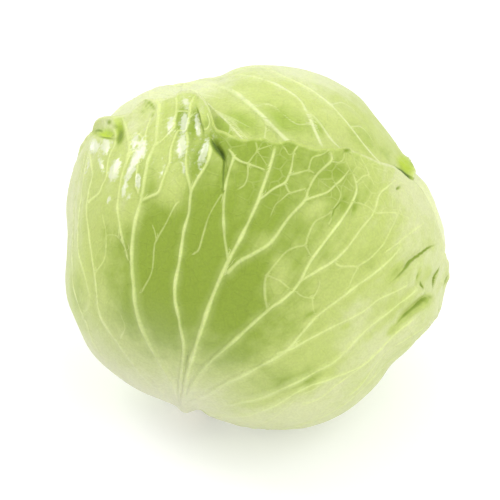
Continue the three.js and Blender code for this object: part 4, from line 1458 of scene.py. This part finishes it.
def stem_profile():
    """Half of the stem's section: radius, and height along its axis."""
    side_start = STEM_INNER_END + STEM_RADIUS * STEM_TAPER
    side_end = STEM_OUTER_END - STEM_CHAMFER
    profile = [
        (0, STEM_INNER_END), (STEM_RADIUS * STEM_TIP, STEM_INNER_END), (STEM_RADIUS, side_start),
    ]
    for share in STEM_SIDE_SHARES:
        profile.append((STEM_RADIUS, between(side_start, side_end, share)))
    for angle in STEM_CHAMFER_ANGLES:
        c, s = math.cos(angle * DEG), math.sin(angle * DEG)
        radius = STEM_RADIUS - STEM_CHAMFER * (1 - c)
        profile.append((radius, STEM_OUTER_END - STEM_CHAMFER * (1 - s)))
    for share in STEM_FACE_SHARES:
        profile.append((STEM_RADIUS * share, STEM_OUTER_END - partly(*STEM_DISH, share)))
    return profile


def make_stem():
    """A round bar along the stem's way, with a dry rim and a slightly dished cut face."""
    bm = bmesh.new()
    verts = [bm.verts.new((radius, 0, height)) for radius, height in stem_profile()]
    edges = [bm.edges.new(pair) for pair in zip(verts, verts[1:])]
    bmesh.ops.spin(
        bm, geom=verts + edges, cent=(0, 0, 0), axis=(0, 0, 1), angle=2 * math.pi,
        steps=STEM_STEPS, use_merge=True,
    )
    bmesh.ops.remove_doubles(bm, verts=bm.verts, dist=STEM_MERGE)
    mesh = mesh_of(bm, "stem")
    local = vertex_places(mesh)
    x, y, z = local.T
    away = np.hypot(x, y) / STEM_RADIUS
    uneven = sum(noise_values(local, size, shift) * share for size, shift, share in STEM_LUMPS)
    shrunk = np.maximum(uneven + STEM_SHRINK_BIAS, 0) * STEM_SHRINK
    inset = 1 - shrunk * smooth(*STEM_SHRINK_FROM, away)
    chips = np.maximum(noise_values(local, STEM_CHIP_SIZE, STEM_CHIP_SHIFT), STEM_CHIP_LEAST)
    z = z - chips * STEM_CHIP_DEPTH * smooth(STEM_OUTER_END - STEM_CHIP_REACH, STEM_OUTER_END, z)
    side_a = BUTT_FRONT * (x * inset)[:, None]
    side_b = BUTT_LEFT * (y * inset)[:, None]
    places = BUTT * np.minimum(z, STEM_OUTER_END)[:, None] + side_a + side_b
    face_start, face_full = (STEM_OUTER_END - reach for reach in STEM_FACE_REACH)
    paint(mesh, cut_away=away, cut_face=smooth(face_start, face_full, z))
    return finish_mesh("cut_stem", mesh, places)


# ---------------------------------------------------------------- materials
def tint(red, green, blue):
    """A display colour, 0 to 255, as linear light."""
    channels = []
    for value in (red, green, blue):
        c = value / 255
        channels.append(c / 12.92 if c <= 0.04045 else ((c + 0.055) / 1.055) ** 2.4)
    return (*channels, 1)


class Tree:
    """Short names for the nodes of a material or of a shader node group."""

    def __init__(self, tree):
        self.tree = tree

    def node(self, kind, **settings):
        made = self.tree.nodes.new(kind if kind.startswith("Node") else "ShaderNode" + kind)
        for name, value in settings.items():
            setattr(made, name, value)
        return made

    def feed(self, socket, value):
        if isinstance(value, bpy.types.NodeSocket):
            self.tree.links.new(value, socket)
        else:
            socket.default_value = value

    def math(self, operation, *values):
        made = self.node("Math", operation=operation)
        for socket, value in zip(made.inputs, values):
            self.feed(socket, value)
        return made.outputs[0]

    def plus(self, a, b):
        return self.math("ADD", a, b)

    def times(self, a, b):
        return self.math("MULTIPLY", a, b)

    def spread(self, value, width):
        """A value from 0 to 1 as one about 0, this wide from end to end."""
        return self.times(self.math("SUBTRACT", value, 0.5), width)

    def attribute(self, name):
        return self.node("Attribute", attribute_name=name).outputs["Fac"]

    def ramp(self, value, low, high, to_low=0.0, to_high=1.0):
        made = self.node("MapRange", interpolation_type="SMOOTHSTEP")
        for socket, given in zip(made.inputs, (value, low, high, to_low, to_high)):
            self.feed(socket, given)
        return made.outputs[0]

    def fade(self, value, low, high, top=1.0):
        """The top value up to low, and 0 from high on."""
        return self.ramp(value, low, high, top, 0.0)

    def mix(self, share, a, b, blend="MIX"):
        made = self.node("Mix", data_type="RGBA", blend_type=blend)
        self.feed(made.inputs["Factor"], share)
        self.feed(made.inputs[6], a)
        self.feed(made.inputs[7], b)
        return made.outputs[2]

    def noise(self, size_mm, detail=3.0):
        made = self.node("TexNoise")
        self.tree.links.new(self.node("TexCoord").outputs["Object"], made.inputs["Vector"])
        made.inputs["Scale"].default_value = 1 / (size_mm * MM)
        made.inputs["Detail"].default_value = detail
        return made.outputs["Fac"]

    def bump(self, height_mm):
        made = self.node("Bump")
        made.inputs["Distance"].default_value = MM
        self.feed(made.inputs["Height"], height_mm)
        return made.outputs["Normal"]


# The size in mm of the skin's mottle and of its clouds, and how far each shifts the green.
MOTTLE = (22, 0.45)
CLOUDS = (7, 0.36)
# How far the stalk's and the under side's colours cover the green.
BASE_COVER = 0.75
FRESH_COVER = 0.85
# A vein's colour fades across it, in half widths, and its pale band further out. Narrow and faint
# veins have no band.
VEIN_CORE = (0.2, 1.3, 0.85)
VEIN_CORE_REACH = (1.5, 2.2)
VEIN_BAND_REACH = (0.5, 3.6)
VEIN_BAND_COVER = 0.75
VEIN_BAND_INK = (0, 0.3)
VEIN_BAND_HALF = (0.4, 1.3)
# The lines of the net, and the painted shade lines along the creases, fade across them, in mm.
NET_LINE = (0.05, 0.6)
NET_LINE_REACH = (0.8, 1.2)
NET_LINE_COVER = 0.2
CREASE_LINE = (0.1, 0.75)
CREASE_LINE_REACH = (1.1, 1.6)
# How far the painted shade covers the colour at most.
DARK_COVER = 0.97
# The grain: size, detail, and the shades from dark to light. Wax: patch size and width, how the
# gloss comes in, and how far it whitens the colour, as waxy bloom and a painted highlight.
GRAIN = (1.1, 2)
GRAIN_SHADE = (0.3, 0.7, 0.95, 1.04)
WAX_PATCHES = (1.8, 1.3)
WAX_GLOSS = (0.25, 0.8, 0.06, 1.0)
WAX_COVER = 0.45
WAX_WHITE = (250, 252, 236)
# Roughness: uneven by patches, lower where the skin is waxy and higher on the veins.
ROUGH_PATCHES = (9, 4)
ROUGH_UNEVEN = (0.35, 0.65, -0.05, 0.08)
ROUGH_BY_GLOSS = (0, 1, 0.55, 0.35)
ROUGH_ON_VEINS = 0.08
# Fine heights in mm.
GRAIN_HEIGHT = 0.05
PEBBLE_SIZE = 3.2
PEBBLE_HEIGHT = 0.16
NET_LINE_HEIGHT = 0.1
VEIN_CORE_HEIGHT = 0.16


def skin_sockets(group):
    for name in ("Pale", "Middle", "Deep", "Fresh", "Vein", "Base", "Crease"):
        group.interface.new_socket(name, in_out="INPUT", socket_type="NodeSocketColor")
    group.interface.new_socket("Color", in_out="OUTPUT", socket_type="NodeSocketColor")
    for name in ("Roughness", "Height", "Gloss"):
        group.interface.new_socket(name, in_out="OUTPUT", socket_type="NodeSocketFloat")


def plain_skin(tree, given, base):
    """The skin from pale to deep green, with the colours of the stalk and of the under side."""
    # The green attribute also holds painted shade and painted highlights from the tone spots.
    green = tree.attribute("green")
    for size, shift in (MOTTLE, CLOUDS):
        green = tree.plus(green, tree.spread(tree.noise(size), shift))
    half_green = tree.times(green, 2)
    colour = tree.mix(tree.ramp(half_green, 0, 1), given["Pale"], given["Middle"])
    colour = tree.mix(tree.ramp(half_green, 1, 2), colour, given["Deep"])
    colour = tree.mix(tree.times(base, BASE_COVER), colour, given["Base"])
    return tree.mix(tree.times(tree.attribute("fresh"), FRESH_COVER), colour, given["Fresh"])


def vein_lines(tree):
    """A vein is a crisp line, measured across it, inside a soft paler band."""
    half = tree.attribute("vein_half")
    ink = tree.attribute("vein_ink")
    across = tree.math("DIVIDE", tree.math("ABSOLUTE", tree.attribute("vein_side")), half)
    away = tree.math("DIVIDE", tree.attribute("vein_away"), half)
    core = tree.times(tree.fade(across, *VEIN_CORE), tree.fade(away, *VEIN_CORE_REACH))
    core = tree.times(core, ink)
    halo = tree.times(tree.attribute("halo"), VEIN_BAND_COVER)
    band = tree.times(tree.fade(away, *VEIN_BAND_REACH), halo)
    band = tree.times(band, tree.ramp(ink, *VEIN_BAND_INK))
    return core, tree.times(band, tree.ramp(half, *VEIN_BAND_HALF))


def thin_line(tree, name, line, reach):
    """A line along the middle of a measured distance, which ends where the line itself does."""
    side = tree.math("ABSOLUTE", tree.attribute(name + "_side"))
    away = tree.attribute(name + "_away")
    return tree.times(tree.fade(side, *line), tree.fade(away, *reach))


def darken(tree, given, colour):
    """Painted shade in creases and hollows, first as deep green and then as the darker shade colour."""
    crease = thin_line(tree, "crease", CREASE_LINE, CREASE_LINE_REACH)
    crease = tree.times(crease, tree.attribute("crease_ink"))
    dark = tree.times(tree.math("MAXIMUM", crease, tree.attribute("dark")), DARK_COVER)
    colour = tree.mix(tree.ramp(dark, 0, 0.5), colour, given["Deep"])
    return tree.mix(tree.times(dark, dark), colour, given["Crease"])


def wax(tree):
    size, width = WAX_PATCHES
    patchy = tree.spread(tree.noise(size), width)
    return tree.ramp(tree.plus(tree.attribute("gloss"), patchy), *WAX_GLOSS)


def skin_group():
    """The leaf's skin: its colour with veins, net and mottle, its roughness and its fine height."""
    group = bpy.data.node_groups.new("leaf_skin", "ShaderNodeTree")
    skin_sockets(group)
    tree = Tree(group)
    given = tree.node("NodeGroupInput").outputs
    ends = tree.node("NodeGroupOutput").inputs

    base = tree.attribute("base")
    core, band = vein_lines(tree)
    net = thin_line(tree, "net", NET_LINE, NET_LINE_REACH)
    net_share = tree.times(net, tree.times(tree.attribute("net_ink"), NET_LINE_COVER))
    veined = tree.math("MAXIMUM", tree.math("MAXIMUM", core, band), net_share)
    vein_colour = tree.mix(base, given["Vein"], given["Base"])
    colour = tree.mix(veined, plain_skin(tree, given, base), vein_colour)
    grain = tree.noise(*GRAIN)
    colour = tree.mix(1.0, colour, tree.ramp(grain, *GRAIN_SHADE), "MULTIPLY")
    gloss = wax(tree)
    colour = darken(tree, given, colour)
    # The gloss whitens the colour: waxy bloom, and a painted highlight.
    tree.feed(ends["Color"], tree.mix(tree.times(gloss, WAX_COVER), colour, tint(*WAX_WHITE)))
    tree.feed(ends["Gloss"], gloss)

    uneven = tree.ramp(tree.noise(*ROUGH_PATCHES), *ROUGH_UNEVEN)
    rough = tree.plus(uneven, tree.ramp(gloss, *ROUGH_BY_GLOSS))
    tree.feed(ends["Roughness"], tree.plus(rough, tree.times(veined, ROUGH_ON_VEINS)))

    height = tree.times(grain, GRAIN_HEIGHT)
    height = tree.plus(height, tree.times(tree.noise(PEBBLE_SIZE), PEBBLE_HEIGHT))
    height = tree.plus(height, tree.times(net, NET_LINE_HEIGHT))
    tree.feed(ends["Height"], tree.plus(height, tree.times(core, VEIN_CORE_HEIGHT)))
    return group


def new_material(name):
    material = bpy.data.materials.new(name)
    material.use_nodes = True
    return material, Tree(material.node_tree), material.node_tree.nodes["Principled BSDF"]


def set_constants(shader, **values):
    for name, value in values.items():
        shader.inputs[name.replace("_", " ")].default_value = value


def leaf_material(name, skin, **colours):
    material, tree, shader = new_material(name)
    group = tree.node("Group")
    group.node_tree = skin
    for socket, colour in colours.items():
        group.inputs[socket.capitalize()].default_value = tint(*colour)
    tree.feed(shader.inputs["Base Color"], group.outputs["Color"])
    tree.feed(shader.inputs["Roughness"], group.outputs["Roughness"])
    tree.feed(shader.inputs["Coat Weight"], group.outputs["Gloss"])
    tree.feed(shader.inputs["Normal"], tree.bump(group.outputs["Height"]))
    set_constants(
        shader, IOR=1.45, Specular_IOR_Level=0.22, Subsurface_Weight=0.22, Subsurface_Scale=0.0035,
        Subsurface_Radius=(0.8, 1.0, 0.35), Coat_Roughness=0.2,
    )
    return material


# The cut stem: where its ring and its rim lie, as shares of the radius, and how strong they are.
FLESH_GRAIN = (1.6, 4)
FLESH_WOBBLE = 0.14
FLESH_ROUGHNESS = (0.3, 0.7, 0.55, 0.75)
FLESH_HEIGHT = 0.5
RING_PLACE = 0.66
RING_LINE = (0.0, 0.09, 0.7)
RIM = (0.86, 1.0, 0.0, 0.6)
DRY_PATCH_SIZE = 5
DRY_PATCHES = (0.5, 0.7, 0.0, 0.3)


def stem_material():
    """Pale flesh with a ring and a dry rim on the cut face, and a green side."""
    material, tree, shader = new_material("cut_stem_flesh")
    away = tree.attribute("cut_away")
    grain = tree.noise(*FLESH_GRAIN)
    wobble = tree.plus(away, tree.spread(grain, FLESH_WOBBLE))
    flesh = tree.mix(tree.ramp(grain, 0.35, 0.65), tint(236, 231, 196), tint(222, 214, 168))
    from_ring = tree.math("ABSOLUTE", tree.math("SUBTRACT", wobble, RING_PLACE))
    face = tree.mix(tree.fade(from_ring, *RING_LINE), flesh, tint(196, 186, 128))
    face = tree.mix(tree.ramp(wobble, *RIM), face, tint(196, 184, 128))
    face = tree.mix(tree.ramp(tree.noise(DRY_PATCH_SIZE), *DRY_PATCHES), face, tint(214, 200, 150))
    side = tree.mix(tree.ramp(grain, 0.3, 0.7), tint(224, 230, 186), tint(204, 214, 156))
    tree.feed(shader.inputs["Base Color"], tree.mix(tree.attribute("cut_face"), side, face))
    tree.feed(shader.inputs["Roughness"], tree.ramp(grain, *FLESH_ROUGHNESS))
    tree.feed(shader.inputs["Normal"], tree.bump(tree.times(grain, FLESH_HEIGHT)))
    set_constants(shader, Subsurface_Weight=0.15, Subsurface_Scale=0.003)
    return material


# ---------------------------------------------------------------- the pieces
# Each skin's crease colour is that of the painted shade in its creases and hollows.
SKINS = {
    "leaf_front": dict(
        pale=(206, 213, 155), middle=(182, 197, 105), deep=(137, 160, 40), fresh=(186, 214, 40),
        vein=(220, 232, 152), base=(204, 204, 177), crease=(72, 98, 0)),
    "leaf_back": dict(
        pale=(220, 229, 168), middle=(198, 212, 122), deep=(164, 188, 78), fresh=(170, 196, 60),
        vein=(222, 231, 164), base=(222, 224, 188), crease=(100, 125, 30)),
    "leaf_crown": dict(
        pale=(214, 222, 168), middle=(190, 204, 116), deep=(156, 179, 66), fresh=(180, 204, 50),
        vein=(224, 233, 172), base=(222, 226, 184), crease=(78, 104, 8)),
    "leaf_right": dict(
        pale=(220, 228, 172), middle=(204, 216, 138), deep=(180, 203, 98), fresh=(174, 200, 70),
        vein=(228, 235, 180), base=(222, 224, 188), crease=(100, 125, 30)),
    "head": dict(
        pale=(228, 233, 192), middle=(212, 222, 154), deep=(194, 212, 120), fresh=(194, 212, 120),
        vein=(234, 238, 200), base=(228, 232, 196), crease=(150, 170, 90)),
}
# The grid of each blade, and the front leaf's strong, middle and fine veins and the crown's.
BLADES = {
    "leaf_front": ((424, 212), FRONT_STRONG_VEINS, FRONT_MIDDLE_VEINS, FRONT_FINE_VEINS),
    "leaf_back": ((296, 168), [], [], []),
    "leaf_crown": ((256, 256), CROWN_STRONG_VEINS, [], CROWN_FINE_VEINS),
    "leaf_right": ((296, 184), [], [], []),
}

rng = np.random.default_rng(SIDE_VEIN_SEED)
skin = skin_group()
for layer, leaf in enumerate(LEAVES):
    size, *seen = BLADES[leaf.name]
    strong, middle, fine = (pixel_veins(veins) for veins in seen)
    ribs, sides = course_veins(leaf, rng)
    field_strong = VeinField((strong + ribs, *STRONG_INK))
    field_fine = VeinField((middle, *MIDDLE_INK), (fine, *FINE_INK), (sides, *SIDE_INK))
    blade = make_leaf(leaf, layer, size, field_strong, field_fine)
    blade.data.materials.append(leaf_material(leaf.name + "_skin", skin, **SKINS[leaf.name]))
    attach(blade, "root")
    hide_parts(leaf.name)

inner = make_head(field_strong)
inner.data.materials.append(leaf_material("inner_head_skin", skin, **SKINS["head"]))
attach(inner, "root")
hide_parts("head")

stem = make_stem()
stem.data.materials.append(stem_material())
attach(stem, "root")
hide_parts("stem")


# ---------------------------------------------------------------- floor, light and camera
FLOOR_HALF = 6.0
FLOOR_GREY = (0.7, 0.7, 0.7, 1)
FLOOR_GLOW = (0.97, 0.98, 1, 1)
FLOOR_GLOW_STRENGTH = 0.36
ROOM_LIGHT = 0.68
NEAREST_SEEN = 0.05
FARTHEST_SEEN = 50
CENTRE = Vector((0, 0, CENTRE_HEIGHT * MM))


def white_floor():
    bm = bmesh.new()
    bmesh.ops.create_grid(bm, x_segments=2, y_segments=2, size=FLOOR_HALF)
    floor = new_object("floor", mesh_of(bm, "floor"))
    material, _, shader = new_material("floor_white")
    set_constants(
        shader, Base_Color=FLOOR_GREY, Roughness=0.9, Specular_IOR_Level=0.1,
        Emission_Color=FLOOR_GLOW, Emission_Strength=FLOOR_GLOW_STRENGTH,
    )
    floor.data.materials.append(material)
    return floor


def room_light():
    world = bpy.data.worlds.new("studio")
    world.use_nodes = True
    set_constants(world.node_tree.nodes["Background"], Color=(1, 1, 1, 1), Strength=ROOM_LIGHT)
    return world


def softbox(name, place, size, power, long=None, along=(0, 0, 1)):
    """A soft light at a place about the head's centre, in metres, turned to the head. A long one is
    a strip, whose long side lies along the given way."""
    light = bpy.data.lights.new(name, "AREA")
    light.shape = "RECTANGLE"
    light.size = long or size
    light.size_y = size
    light.energy = power
    lamp = new_object(name, light)
    back = Vector(place).normalized()
    side = (Vector(along) - back * back.dot(Vector(along))).normalized()
    lamp.location = CENTRE + Vector(place)
    lamp.rotation_mode = "QUATERNION"
    lamp.rotation_quaternion = Matrix((side, back.cross(side), back)).transposed().to_quaternion()


def front_camera():
    """Looks at the head from in front, down along the lean of its outline."""
    data = bpy.data.cameras.new("camera")
    data.sensor_width = SENSOR_MM
    data.lens = SENSOR_MM * CAMERA_DISTANCE / (FRAME_PIXELS * PIXEL_MM)
    data.clip_start = NEAREST_SEEN
    data.clip_end = FARTHEST_SEEN
    camera = new_object("camera", data)
    camera.location = CENTRE + Vector(CAMERA_PLACE * MM)
    camera.rotation_euler = (math.radians(90 - OUTLINE_LEAN), 0, 0)
    return camera


scene = bpy.context.scene
floor = white_floor()
scene.view_settings.view_transform = "Standard"
scene.world = room_light()
softbox("overhead_softbox", (0.55, 0.05, 1.25), 1.3, 5.2)
softbox("left_softbox", (-0.92, 0.27, 0.95), 0.55, 8.2, 1.15, (0.593, -0.5, 0.632))
softbox("front_softbox", (0.75, -0.95, 1.05), 1.2, 8.8)
scene.camera = front_camera()
